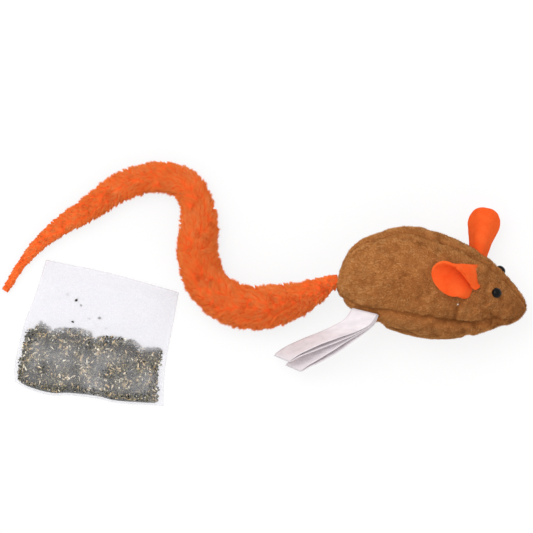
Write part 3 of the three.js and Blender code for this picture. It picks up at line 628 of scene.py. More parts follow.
@dataclass(frozen=True)
class BodyForm:
    """The form of the body: its own frame has +X to the nose, +Y to its left and +Z to its back."""

    length: float = 101.0
    rear: float = -48.5
    half_width: Values = (0, 12.5, 19.5, 24, 25.5, 22, 15, 7.8, 0)
    rise: Values = (0, 13.4, 21.7, 28, 28.2, 23.1, 14.3, 6.8, 0)
    drop: Values = (0, 13.4, 21.7, 27.6, 28, 23.1, 14.3, 6.8, 0)
    middle: Values = (-10, -3.6, -1.4, 0.4, -0.6, -0.9, -1, -2.5, -1.7)
    seam: Values = (55, 47, 36, 22, 13.5, 17, 20, 36, 45)
    seam_sink: float = 0.8
    seam_roll: float = 3.0
    roll: float = 62.0
    turn: float = 12.0
    settle: float = 3.0
    rest_steps: int = 180
    flap_length: float = 46.0
    flap_hinge: float = -110.0
    flap_edge: float = -75.0
    flap_recess: float = 2.0
    flap_slope: float = 10.0
    flap_end_slope: float = 3.5
    pocket_centre: float = 2.0
    tail_hole: float = 4.05
    nose_end: float = 0.997
    inner_height: float = 25.0
    top_steps: int = 24

    def size(self, key: str, along: Array) -> Array:
        """One of the cross-section's sizes, from the rump at 0 to the nose at 1."""
        return spline(getattr(self, key), along)

    def surface(self, along: Array, angle: Array) -> Array:
        """Points of the plain form, at an angle from the left side up."""
        along, angle = np.broadcast_arrays(along, angle)
        reach = np.where(np.sin(angle) > 0, self.size("rise", along), self.size("drop", along))
        ahead = self.rear + self.length / 2 * (1 - np.cos(np.pi * along))
        aside = self.size("half_width", along) * np.cos(angle)
        return np.stack([ahead, aside, self.size("middle", along) + reach * np.sin(angle)], axis=-1)

    def tangents(self, along: Array, angle: Array) -> Arrays:
        """How the surface runs forward and round, for one unit of along and of angle."""
        step = 1e-3
        forward = self.surface(along + step, angle) - self.surface(along - step, angle)
        about = self.surface(along, angle + step) - self.surface(along, angle - step)
        return forward / (2 * step), about / (2 * step)

    def normal(self, along: Array, angle: Array) -> Array:
        """The way that the surface faces."""
        forward, about = self.tangents(along, angle)
        return unit(np.cross(about, forward))

    def facing(self, along: Array, angle: Array) -> Array:
        """The way that the surface faces, on the table."""
        return self.normal(along, angle) @ self.turned.T

    def seams(self, along: Array) -> dict[str, Array]:
        """The angles of the three seams."""
        below = np.radians(self.size("seam", along))
        return {"left_belly": -below, "spine": 0 * below + np.pi / 2, "right_belly": np.pi + below}

    def sunk(self, along: Array, angle: Array) -> Array:
        """How deep the surface lies at the seams and under the flap."""
        arc = norm(self.tangents(along, angle)[1], axis=-1)
        turns = [np.mod(angle - seam, FULL_TURN) for seam in self.seams(along).values()]
        away = np.min([arc * np.minimum(turn, FULL_TURN - turn) for turn in turns], axis=0)
        room = np.minimum(1, self.size("half_width", along) / (3 * self.seam_roll))
        seam = self.seam_sink * room * bell(away, self.seam_roll)
        top = 1.5 * np.pi
        turn = np.mod(angle + top, FULL_TURN) - top
        below = np.maximum(math.radians(self.flap_hinge) - turn, turn - math.radians(self.flap_edge))
        ahead = self.surface(along, angle)[..., 0] - self.pocket_centre
        beyond = np.maximum(np.abs(ahead) - self.flap_length / 2, 0)
        off = np.hypot(np.maximum(below, 0) * arc / self.flap_slope, beyond / self.flap_end_slope)
        return seam + self.flap_recess * (1 - smoothstep(off, 0, 1))

    @cached_property
    def turned(self) -> Array:
        """The rotation that lays the mouse on its flank. Its last row is straight up."""
        spin = Matrix.Rotation(math.radians(-self.turn), 3, "Z")
        return np.array(spin @ Matrix.Rotation(math.radians(-self.roll), 3, "X"))

    @cached_property
    def rest(self) -> Array:
        """The middle of the patch that the mouse rests on, in its own frame."""
        steps = np.arange(self.rest_steps + 1) / self.rest_steps
        flank = self.surface(steps[1:-1, None], -steps[None] * np.pi / 2).reshape(-1, 3)
        up = self.turned[2]
        return flank[np.argmin(flank @ up)] + self.settle * up

    def point(self, along: Array, angle: Array, depth: Array | float) -> Array:
        """A point at a depth under the cloth's face, raised where the flank is pressed flat."""
        sunk = np.asarray(self.sunk(along, angle) + depth)[..., None]
        place = self.surface(along, angle) - self.normal(along, angle) * sunk
        up = self.turned[2]
        short = self.rest @ up + depth - place @ up
        return place + np.maximum(short, 0)[..., None] * up

    def on_table(self, points: Array) -> Array:
        """Points of the own frame, as they lie on the table."""
        return (points - self.rest) @ self.turned.T

    def own(self, points: Array) -> Array:
        """Points on the table, in the own frame."""
        return points @ self.turned + self.rest

    def cloth(self, along: Array, angle: Array, depth: Array | float) -> Array:
        """A point at a depth under the cloth's face, on the table."""
        return self.on_table(self.point(along, angle, depth))

    @cached_property
    def rump(self) -> Array:
        """The rear end of the form, in the own frame."""
        return self.surface(np.array(0.0), np.array(0.0))

    def along_at(self, ahead: float) -> float:
        """The place along the body at a distance to the front."""
        return math.acos(1 - 2 * (ahead - self.rear) / self.length) / math.pi

    @cached_property
    def rump_end(self) -> float:
        """Where the panels end round the tail's root."""
        along = np.linspace(0, 0.5, 2001)
        return float(along[np.argmax(self.size("half_width", along) >= self.tail_hole)])

    def inside(self, points: Array) -> Array:
        """How far points of the own frame lie from the body's middle, where its face is at 1."""
        ahead = np.clip((points[..., 0] - self.rear) / self.length, 1e-4, 1 - 1e-4)
        along = np.arccos(1 - 2 * ahead) / np.pi
        height = points[..., 2] - self.size("middle", along)
        reach = np.where(height > 0, self.size("rise", along), self.size("drop", along))
        return np.hypot(points[..., 1] / self.size("half_width", along), height / reach)

    def top(self, plan: Array) -> Array:
        """Heights of the upper face over places on the table."""
        low = np.full(plan.shape[:-1], self.inner_height)
        high = low + self.length
        for _ in range(self.top_steps):
            middle = (low + high) / 2
            within = self.inside(self.own(np.concatenate([plan, middle[..., None]], axis=-1))) < 1
            low, high = np.where(within, middle, low), np.where(within, high, middle)
        return low


@dataclass(frozen=True)
class Crease:
    """A fold or hollow of the upper side: a line on the table's plan, its width and its depth."""

    path: Line
    width: float
    depth: float

    def depth_at(self, points: Array, facing: Array) -> Array:
        """How far the crease presses points of the upper side in.

        Args:
            points: the places, on the table.
            facing: the way that the cloth faces there.
        Returns:
            The depths.
        """
        plan = points[..., :2]
        away = np.full(plan.shape[:-1], np.inf)
        for start, end in zip(self.path, self.path[1:] or self.path):
            start, run = np.array(start), np.subtract(end, start)
            share = np.clip((plan - start) @ run / max(run @ run, 1e-9), 0, 1)
            away = np.minimum(away, norm(plan - start - share[..., None] * run, axis=-1))
        return self.depth * bell(away, self.width) * smoothstep(facing[..., 2], 0.0, 0.3)


@dataclass(frozen=True)
class PlushBody:
    """The sewn body: three plush panels swelled by their filling, their pile, and the filling."""

    form: BodyForm
    rows: int = 120
    side_columns: int = 62
    belly_columns: int = 56
    knit: float = 1.1
    pile_height: float = 0.7
    allowance: Values = (3.4, 1.6)
    tail_room: float = 7.5
    gather_steps: Line = ((2.6, 1.8), (3.2, 0.5))
    swell_rows: int = 56
    swell_columns: int = 24
    swell_frames: int = 20
    swell_pressure: float = 4.0
    swell_shrink: float = -0.05
    swell_cap: float = 0.8
    swell_level: float = 75.0
    # The cloth swells freely from the first of these to the second, and not at all past the third
    swell_free: Triple = (0.2, 0.7, 0.9)
    # Uneven filling under the cloth: heights and lengths of its waves
    lumps: Line = ((0.22, 13.0), (0.1, 5.0))
    # Half widths of the body where its seams start to fold in, and do so fully
    fold_room: Pair = (3.0, 12.0)
    fold_depth: float = 1.2
    fold_width: float = 1.9
    fill_inset: float = 2.4
    pile_length: float = 1.25
    length_spread: Pair = (0.7, 1.15)
    lay: float = 0.55
    brush: float = 0.5
    lock_fibres: int = 10
    lock_pull: float = 0.4
    # How far its tone differs by patch, lock and fibre, and how far a painted shade darkens it in deep
    # creases and along the seams
    tone_patch: float = 0.1
    tone_lock: float = 0.6
    tone_stray: float = 0.12
    deep_crease: float = 1.0
    crease_tone: float = 0.22
    seam_tone: float = 0.6
    seam_shade_width: float = 1.5
    # A painted shade: a patch of the upper side about the body's middle, drawn darker
    painted_shade_place: Pair = (-8.0, 3.0)
    painted_shade_reach: float = 11.0
    painted_shade_tone: float = 0.2
    eye_clear: float = 2.2
    eye_sink: float = 0.1
    eye_reach: float = 4.5
    stitch_place: Pair = (15.6, -7.6)
    stitch_radius: float = 0.45
    stitch_rise: float = 1.1
    stitch_lump: float = 0.25
    stitch_lump_size: float = 0.7
    # The dart under the near ear, the cheek, the fold over the belly seam, and soft hollows
    creases: tuple[Crease, ...] = (
        Crease(((20.8, -3.6), (16.4, -7.2), (14.8, -11.6), (14.4, -16.2)), 1.1, 1.4),
        Crease(((31.4, -11.6), (36.6, -14.2)), 1.8, 1.1),
        Crease(((4.6, -16.6), (13.6, -18), (24, -17.6), (37, -17.2)), 1.3, 2.0),
        Crease(((-13.4, 14.6),), 8.0, 0.9),
        Crease(((-28, 2),), 6.0, 0.5),
        Crease(((23.5, -12.8),), 3.6, -0.9),
        Crease(((2, -9),), 7.0, -0.5),
    )

    def angles(self, panel: Panel, along: Array, shares: Array) -> Array:
        """Angles across a panel, from its first seam at 0 to its last at 1."""
        seams = self.form.seams(along)
        start, end = seams[panel.value[0]], seams[panel.value[1]]
        end = np.where(end < start, end + FULL_TURN, end)
        return start + shares * (end - start)

    def along(self, rows: int) -> Array:
        """Rows from the tail's hole to the nose."""
        return np.linspace(self.form.rump_end, self.form.nose_end, rows)[:, None]

    def swelling(self) -> dict[Panel, Array]:
        """Lets the filling press the sewn panels out, with their seams held.

        Returns:
            For each panel, a grid of how far the cloth moved, less what it moved nearly everywhere.
        """
        shares = even(self.swell_columns)[None]
        along = self.along(self.swell_rows)
        moved = {}
        for panel in Panel:
            angle = self.angles(panel, along, shares)
            start = self.form.cloth(along, angle, self.pile_height + 1)
            shift = self.inflated(start) - start
            facing = normals_of(start)
            level = np.percentile((shift * facing).sum(axis=-1), self.swell_level)
            moved[panel] = shift - level * facing
        return moved

    def inflated(self, grid: Array) -> Array:
        """One panel, pressed out as far as the cap with its edges held."""
        made = sheet_bmesh(grid)
        held = [vert.index for vert in made.verts if vert.is_boundary]
        piece = mesh_object("swelling", made)
        piece.vertex_groups.new(name="sewn").add(held, 1.0, "REPLACE")
        cloth = piece.modifiers.new("cloth", "CLOTH")
        cloth.settings.vertex_group_mass = "sewn"
        cloth.settings.use_pressure = True
        cloth.settings.uniform_pressure_force = self.swell_pressure
        cloth.settings.shrink_min = self.swell_shrink
        cloth.settings.effector_weights.gravity = 0
        cloth.point_cache.frame_end = self.swell_frames
        scene = bpy.context.scene
        for frame in range(1, self.swell_frames + 1):
            scene.frame_set(frame)
        posed = piece.evaluated_get(bpy.context.evaluated_depsgraph_get()).data
        places = np.empty(grid.size)
        posed.vertices.foreach_get("co", places)
        mesh = piece.data
        bpy.data.objects.remove(piece)
        bpy.data.meshes.remove(mesh)
        scene.frame_set(1)
        shift = places.reshape(grid.shape) / MM - grid
        far = norm(shift, axis=-1, keepdims=True)
        return grid + shift * self.swell_cap / np.maximum(self.swell_cap, far)

    def skin(self, panel: Panel, swelling: Array, eyes: Array) -> Array:
        """The face of one panel's knit, with its creases and without its turned-in edges.

        Args:
            panel: which panel.
            swelling: how far its filling moved it.
            eyes: the middles of the eyes, whose beads sit on the cloth.
        Returns:
            The face as a grid of points.
        """
        columns = self.belly_columns if panel is Panel.BELLY else self.side_columns
        along, shares = self.along(self.rows), even(columns)[None]
        angle = self.angles(panel, along, shares)
        place = self.form.cloth(along, angle, self.pile_height)
        row = np.linspace(0, self.swell_rows - 1, self.rows)[:, None] + 0 * shares
        column = shares * self.swell_columns + 0 * along
        place = place + sample(swelling, row, column) * self.taper(along)[..., None]
        facing = self.form.facing(along, angle)
        depth = sum(crease.depth_at(place, facing) for crease in self.creases)
        for seed, (height, size) in enumerate(self.lumps, 3):
            depth = depth + height * ripple(place, size, seed)
        room = np.minimum(1, self.form.size("half_width", along) / self.fold_room[1])
        away = self.from_seam(place, shares)
        depth = depth + self.fold_depth * room * bell(away, self.fold_width)
        place = place - facing * depth[..., None]
        face = self.form.cloth(along, angle, self.eye_sink)
        near = np.min([norm(face - eye, axis=-1) for eye in eyes], axis=0)
        place = place + (face - place) * bell(near, self.eye_reach)[..., None]
        place[..., 2] = np.maximum(place[..., 2], self.pile_height)
        return place

    def from_seam(self, skin: Array, shares: Array) -> Array:
        """How far places across a panel lie from its nearer seam."""
        return np.minimum(shares, 1 - shares) * lengths(skin, 1)[:, None]

    def taper(self, along: Array) -> Array:
        """How freely the cloth swells: not at the rump's and nose's ends."""
        start, end, last = self.swell_free
        return smoothstep(along, self.form.rump_end, start) * smoothstep(-along, -last, -end)

    def with_edges(self, panel: Panel, skin: Array) -> Array:
        """A panel's face with its edges turned in at both seams."""
        along = self.along(self.rows)
        room = smoothstep(self.form.size("half_width", along), *self.fold_room)
        edges = []
        for end, share in ((0, 0.0), (-1, 1.0)):
            inward = -self.form.facing(along, self.angles(panel, along, np.array([[share]])))
            deep = [skin[:, end][:, None] + inward * (room * depth)[..., None] for depth in self.allowance]
            edges.append(deep if end == 0 else deep[::-1])
        whole = np.concatenate([*edges[0], skin, *edges[1]], axis=1)
        return np.concatenate([*self.gathered(whole[:1]), whole])

    def gathered(self, row: Array) -> list[Array]:
        """Rows that draw the cloth's rear end in round the tail's root, from the deepest one."""
        root = self.form.on_table(self.form.rump)
        inward = self.form.turned[:, 0]
        deep = ((row - root) @ inward)[..., None]
        aside = unit(row - root - deep * inward)
        return [root + aside * radius + (deep + depth) * inward for radius, depth in self.gather_steps]

    def pile(self, name: str, skin: Array, count: int, seed: int, clear: Array) -> Piece:
        """The short pile of a panel: it lies back from the nose, and is brushed this way and that.

        Args:
            name: the piece's name.
            skin: the face of the knit.
            count: how many fibres.
            seed: the source of chance.
            clear: the middles of the eyes, which stay bare.
        Returns:
            The pile.
        """
        rng = default_rng(seed)
        rows, columns, roots, facing = rooted(skin, count, rng)
        back = unit(sample(-np.gradient(skin, axis=0), rows, columns))
        lean = self.lay * back + self.brush * brushing(roots, PLUSH_PATCH, seed)
        ways = leaning(facing, PLUSH_STAND, lean + rng.normal(0, PLUSH_STRAY, roots.shape))
        ways = ways * (self.pile_length * rng.uniform(*self.length_spread, count))[:, None]
        ways, chance, _ = gather(roots, ways, count // self.lock_fibres, self.lock_pull, rng)
        tone = 0.5 + self.tone_patch * ripple(roots, PLUSH_PATCH, 21) + self.tone_lock * (chance - 0.5)
        tone = tone + rng.normal(0, self.tone_stray, count)
        # Painted shade: fibres facing up are darker in a patch about the body's middle
        painted_shade_patch = bell(norm(roots[:, :2] - self.painted_shade_place, axis=1), self.painted_shade_reach)
        tone = tone - self.painted_shade_tone * painted_shade_patch * smoothstep(facing[:, 2], 0.2, 0.7)
        # Painted shade: fibres in deep creases and along the seams are darker
        deep = [crease for crease in self.creases if crease.depth > self.deep_crease]
        crease_shade = sum(np.maximum(crease.depth_at(roots, facing), 0) for crease in deep)
        shares = np.linspace(0, 1, skin.shape[1])[None]
        away = sample(self.from_seam(skin, shares)[..., None], rows, columns)[:, 0]
        tone = tone - self.crease_tone * crease_shade - self.seam_tone * bell(away, self.seam_shade_width)
        widths = PLUSH_WIDTH * rng.uniform(*WIDTH_SPREAD, count)
        keep = np.min([norm(roots - eye, axis=1) for eye in clear], axis=0) >= self.eye_clear
        return pile_object(name, roots[keep], ways[keep], widths[keep], facing[keep], tone[keep])

    def build(self, eyes: Array, mouth: "Pocket") -> None:
        """Builds and dresses the panels, their pile and the filling.

        Args:
            eyes: the middles of the eyes.
            mouth: the pocket, whose mouth opens the belly panel.
        """
        swelling = self.swelling()
        plans = {
            Panel.LEFT: ("side_panel_left", "panel_left", 46000),
            Panel.RIGHT: ("side_panel_right", "panel_right", 64000),
            Panel.BELLY: ("belly_panel", "panel_belly", 56000),
        }
        for seed, (panel, (node, name, count)) in enumerate(plans.items(), 40):
            skin = self.skin(panel, swelling[panel], eyes)
            made = sheet_bmesh(self.with_edges(panel, skin))
            if panel is Panel.BELLY:
                mouth.open_in(made)
            piece = mesh_object(name, made)
            thicken(piece, self.knit, -1)
            settle(piece, BROWN_KNIT, Body.MOUSE, "brown_plush", (node,))
            pile = self.pile(f"{name}_pile", skin, count, seed, eyes)
            if panel is Panel.RIGHT:
                self.stitch(skin)
            if panel is Panel.BELLY:
                mouth.clear_pile(pile)
            settle(pile, BROWN_PILE, Body.MOUSE, "brown_plush")
        self.filling()

    def stitch(self, skin: Array) -> None:
        """The white knot that shows in the dart under the near ear."""
        places = skin.reshape(-1, 3)
        seat = places[np.argmin(norm(places[:, :2] - self.stitch_place, axis=1))]
        made = bmesh.new()
        bmesh.ops.create_icosphere(made, subdivisions=2, radius=self.stitch_radius * MM)
        places = np.array([vert.co for vert in made.verts]) / MM
        lumps = 1 + self.stitch_lump * ripple(places, self.stitch_lump_size, 12)
        for vert, lump in zip(made.verts, lumps):
            vert.co = vert.co * lump + Vector((seat + self.stitch_rise * UP) * MM)
        settle(mesh_object("dart_knot", made), THREAD, Body.MOUSE, "fibre_fill")

    def filling(self) -> None:
        """The fibre filling: the solid's own form with a lumpy, tangled face."""
        hollow = self.form.on_table(self.form.rump), self.form.turned[:, 0] * self.tail_room
        lumpy("body_fibre", "body_stuffing", Body.MOUSE, self.fill_inset, hollow)


def lumpy(name: str, node: str, body: Body, inset: float, hollow: Arrays | None = None) -> None:
    """Makes a fibre filling from a copy of its solid, with a lumpy face that stays inside it.

    Args:
        name: the piece's name.
        node: the solid.
        body: the body that it rides on.
        inset: how far its face stays inside the solid's.
        hollow: the middle of a round hollow that stays free of it, and the way and distance to push it out.
    """
    made = bmesh.new()
    made.from_mesh(bpy.data.objects[node].data)
    bmesh.ops.remove_doubles(made, verts=made.verts, dist=WELD)
    bmesh.ops.subdivide_edges(made, edges=made.edges, cuts=1, use_grid_fill=True)
    made.normal_update()
    places = np.array([vert.co for vert in made.verts]) / MM
    depths = inset + FILL_LUMP * np.abs(ripple(places, FILL_LUMP_SIZE, 9))
    places = places - np.array([vert.normal for vert in made.verts]) * depths[:, None]
    if hollow is not None:
        middle, push = hollow
        reach = norm(push)
        ahead = (places - middle) @ push / reach
        room = ahead**2 - ((places - middle) ** 2).sum(axis=1) + reach**2
        short = np.where(ahead**2 < room, np.sqrt(np.maximum(room, 0)) - ahead, 0)
        places = places + short[:, None] * push / reach
    for vert, place in zip(made.verts, places):
        vert.co = place * MM
    settle(mesh_object(name, made), FIBRE_FILL, body, "fibre_fill", (node,))


@dataclass(frozen=True)
class Pocket:
    """The belly pocket: a lining bag, its plush flap, and the hook and loop strips that shut it."""

    form: BodyForm
    centre: float = 2.0
    offset: float = -2.8
    mouth_length: float = 40.0
    mouth_width: float = 10.5
    # Cloth above this height of the own frame counts as far from the mouth
    belly_height: float = -10.0
    far_share: float = 9.0
    # How far round the mouth, and aside under the flap, there is no pile
    bare_share: float = 1.04
    bare_half: float = 11.0
    bag_length: float = 44.0
    bag_width: float = 20.0
    bag_depth: float = 21.0
    bag_round: float = 8.0
    bag_rings: int = 8
    neck_depth: float = 6.0
    neck_from: float = 0.12
    swell_from: float = 0.3
    end_rings: Values = (0.7, 0.35, 0.0)
    crumple: float = 0.25
    crumple_size: float = 6.0
    lining: float = 0.6
    lining_share: float = 0.8
    mouth_seat: float = 2.2
    sides: int = 96
    flap_gap: float = 0.4
    plush: float = 1.6
    plush_pile: float = 0.8
    closure: float = 2.2
    rise_share: float = 0.45
    end_share: float = 0.09
    end_height: float = 0.3
    corner: float = 5.0
    corner_power: float = 6.0
    flap_rows: int = 60
    flap_columns: int = 30
    fibres: int = 15000
    fibre_length: float = 1.1
    brush: float = 0.7
    tone_patch: float = 0.22
    tone_size: float = 6.0
    tone_stray: float = 0.16
    strip_length: float = 36.0
    strip_width: float = 7.0
    strip: float = 0.6
    strip_inset: float = 1.2
    strip_rows: int = 50
    strip_columns: int = 10
    strands: int = 2600
    strand_length: float = 0.4
    strand_width: float = 0.22
    strand_stray: float = 0.35

    def mouth_share(self, points: Array) -> Array:
        """How far points of the own frame lie from the mouth's middle, where its edge is at 1."""
        ahead = (points[..., 0] - self.centre) / (self.mouth_length / 2)
        aside = (points[..., 1] - self.offset) / (self.mouth_width / 2)
        above = np.where(points[..., 2] < self.belly_height, 0, self.far_share)
        return (ahead**4 + aside**4) ** 0.25 + above

    def open_in(self, made: bmesh.types.BMesh) -> None:
        """Cuts the mouth out of the belly panel, with an even edge."""
        centres = np.array([face.calc_center_median() for face in made.faces]) / MM
        share = self.mouth_share(self.form.own(centres))
        gone = [face for face, place in zip(made.faces, share) if place < 1]
        rim = {vert for face in gone for vert in face.verts}
        bmesh.ops.delete(made, geom=gone, context="FACES")
        plan = np.array([self.centre, self.offset])
        for vert in rim:
            if not vert.is_valid:
                continue
            place = self.form.own(np.array(vert.co) / MM)
            share = float(self.mouth_share(place))
            place[:2] = plan + (place[:2] - plan) / share
            vert.co = self.form.on_table(place) * MM

    def clear_pile(self, pile: Piece) -> None:
        """Takes the fibres out of the mouth and from under the flap."""
        made = bmesh.new()
        made.from_mesh(pile.data)
        places = self.form.own(np.array([vert.co for vert in made.verts]) / MM)
        ahead, aside = np.abs(places[:, 0] - self.centre), np.abs(places[:, 1])
        under = (ahead < self.form.flap_length / 2) & (aside < self.bare_half)
        bare = (self.mouth_share(places) < self.bare_share) | under & (places[:, 2] < self.belly_height)
        gone = [vert for vert, out in zip(made.verts, bare) if out]
        bmesh.ops.delete(made, geom=gone, context="VERTS")
        made.to_mesh(pile.data)
        made.free()

    def ring(self, length: float, width: float, height: float) -> Array:
        """A rounded oblong ring at a height of the own frame."""
        angle = np.linspace(0, FULL_TURN, self.sides + 1)
        cosine, sine = np.cos(angle), np.sin(angle)
        ahead = self.centre + length / 2 * np.sign(cosine) * np.sqrt(np.abs(cosine))
        aside = self.offset + width / 2 * np.sign(sine) * np.sqrt(np.abs(sine))
        return np.stack([ahead, aside, np.full_like(ahead, height)], axis=1)

    def bag(self) -> None:
        """The lining bag, from its sewn mouth to its round end."""
        inset = 2 * self.lining
        low = self.form.surface(self.form.along_at(self.centre), -np.pi / 2)[2]
        mouth = self.ring(self.mouth_length - inset, self.mouth_width - inset, low)
        along = np.arccos(1 - 2 * (mouth[:, 0] - self.form.rear) / self.form.length) / np.pi
        angle = -np.arccos(np.clip(mouth[:, 1] / self.form.size("half_width", along), -1, 1))
        mouth[:, 2] = self.form.point(along, angle, self.mouth_seat)[:, 2]
        rings = [mouth]
        neck = low + (self.neck_depth + self.bag_depth) / 2
        for share in np.linspace(self.neck_from, 1, self.bag_rings):
            swell = smoothstep(share, self.swell_from, 1)
            length = self.mouth_length + swell * (self.bag_length - self.mouth_length)
            width = self.mouth_width + swell * (self.bag_width - self.mouth_width)
            ring = self.ring(length - inset, width - inset, neck)
            ring[:, 2] = mouth[:, 2] + share * (neck - mouth[:, 2])
            rings.append(ring)
        half = (self.bag_depth - self.neck_depth) / 2
        for share in np.linspace(0, 1, self.bag_rings)[1:]:
            shrink = inset + self.bag_round * (1 - math.sqrt(1 - min(share, 0.999) ** 2))
            height = low + self.bag_depth - half + share * (half - self.lining)
            rings.append(self.ring(self.bag_length - shrink, self.bag_width - shrink, height))
        last = rings[-1]
        middle = last.mean(axis=0)
        rings += [middle + (last - middle) * share for share in self.end_rings]
        grid = np.stack(rings)
        grid[2:, :, 1] += self.crumple * ripple(grid[2:], self.crumple_size, 5)
        grid[:, -1] = grid[:, 0]
        made = sheet_bmesh(self.form.on_table(grid), weld=True)
        bmesh.ops.reverse_faces(made, faces=made.faces)
        piece = mesh_object("pocket_bag", made)
        lay_map(piece, "cloth")
        thicken(piece, self.lining * self.lining_share, 0)
        settle(piece, LINING, Body.MOUSE, "lining", ("catnip_pocket",))

    def strip_grid(
        self, length: float, edges: Pair, height: Array, corner: float, rows: int, columns: int
    ) -> Array:
        """A strip of cloth that follows the belly.

        Args:
            length: its length along the body.
            edges: the angles of its first and last edge.
            height: its height above the belly, from edge to edge.
            corner: how far its last corners are cut back, as an angle.
            rows: its steps along the body.
            columns: its steps across.
        Returns:
            Its face as a grid of points.
        """
        start, end = edges
        ends = [self.form.along_at(self.centre + way * length / 2) for way in (-1, 1)]
        share = even(rows)[:, None]
        trim = corner * np.abs(2 * share - 1) ** self.corner_power
        across = even(columns)[None]
        along = ends[0] + share * (ends[1] - ends[0])
        angle = start + across * (end - trim - start)
        depth = -np.broadcast_to(height, angle.shape)
        return self.form.cloth(along + 0 * angle, angle, depth)

    def closure_strip(self, height: float) -> Array:
        """The face of a hook or loop strip at a height."""
        along = np.array(self.form.along_at(self.centre))
        edge = math.radians(self.form.flap_edge)
        arc = norm(self.form.tangents(along, np.array(edge))[1])
        edge -= self.strip_inset / arc
        edges = edge - self.strip_width / arc, edge
        height = np.array(height)
        return self.strip_grid(self.strip_length, edges, height, 0, self.strip_rows, self.strip_columns)

    def tape(self, name: str, height: float, finish: Finish, body: Body, slot: str, node: str) -> None:
        """The tape of a hook or loop strip, with its face at a height."""
        piece = mesh_object(name, sheet_bmesh(self.closure_strip(height)))
        thicken(piece, self.strip / 2, -1)
        settle(piece, finish, body, slot, (node,))

    def strands_on(self, name: str, height: float, way: int, finish: Finish, body: Body, slot: str) -> None:
        """The hooks or loops on a face at a height, which stand up at a way of 1 and hang at -1."""
        rng = default_rng(len(name))
        _, _, roots, facing = rooted(self.closure_strip(height), self.strands, rng)
        facing = facing * way
        ways = unit(facing + rng.normal(0, self.strand_stray, roots.shape)) * self.strand_length
        widths, tones = np.full(self.strands, self.strand_width), rng.random(self.strands)
        settle(pile_object(name, roots, ways, widths, facing, tones), finish, body, slot)

    def flap(self) -> None:
        """The plush flap with its pile."""
        edges = math.radians(self.form.flap_hinge), math.radians(self.form.flap_edge)
        across = even(self.flap_columns)
        low = self.flap_gap + smoothstep(across, 0, self.rise_share) * (self.closure - self.flap_gap)
        share = even(self.flap_rows)[:, None]
        ends = smoothstep(np.minimum(share, 1 - share), 0, self.end_share)
        height = (low + self.plush - self.plush_pile - self.end_height) * ends + self.end_height
        corner = math.radians(self.corner)
        face = self.strip_grid(
            self.form.flap_length, edges, height, corner, self.flap_rows, self.flap_columns
        )
        flap = mesh_object("flap_plush", sheet_bmesh(face))
        thicken(flap, self.plush - self.plush_pile, -1)
        settle(flap, BROWN_KNIT, Body.FLAP, "brown_plush", ("belly_flap",))
        rng = default_rng(77)
        _, _, roots, facing = rooted(face, self.fibres, rng)
        lean = self.brush * brushing(roots, PLUSH_PATCH, 80) + rng.normal(0, PLUSH_STRAY, roots.shape)
        ways = unit(facing * PLUSH_STAND + lean) * self.fibre_length
        tone = 0.5 + self.tone_patch * ripple(roots, self.tone_size, 21)
        tone = tone + rng.normal(0, self.tone_stray, self.fibres)
        widths = np.full(self.fibres, PLUSH_WIDTH)
        pile = pile_object("flap_pile", roots, ways, widths, facing, tone)
        settle(pile, BROWN_PILE, Body.FLAP, "brown_plush")

    def build(self) -> None:
        """Builds and dresses the bag, the flap and the closure."""
        self.bag()
        self.flap()
        loops, hooks = (Body.MOUSE, "loop_tape"), (Body.FLAP, "hook_tape")
        low, high = self.flap_gap + self.strip / 2, 2 * self.strip + 2 * self.flap_gap
        self.tape("loop_strip", low, LOOP_TAPE, *loops, "belly_loop_strip")
        self.strands_on("loop_strip_loops", low, 1, LOOPS, *loops)
        self.tape("hook_strip", high, HOOK_TAPE, *hooks, "flap_hook_strip")
        self.strands_on("hook_strip_hooks", high - self.strip / 2, -1, HOOKS, *hooks)


def lay_map(piece: Piece, name: str) -> None:
    """Gives a sheet a map in metres, each face seen along the axis that it faces most.

    Args:
        piece: the sheet.
        name: the map's name.
    """
    mesh = piece.data
    layer = mesh.uv_layers.new(name=name)
    for face in mesh.polygons:
        normal = face.normal
        axis = max(range(3), key=lambda k: abs(normal[k]))
        kept = [k for k in range(3) if k != axis]
        for corner in face.loop_indices:
            place = mesh.vertices[mesh.loops[corner].vertex_index].co
            layer.data[corner].uv = (place[kept[0]], place[kept[1]])


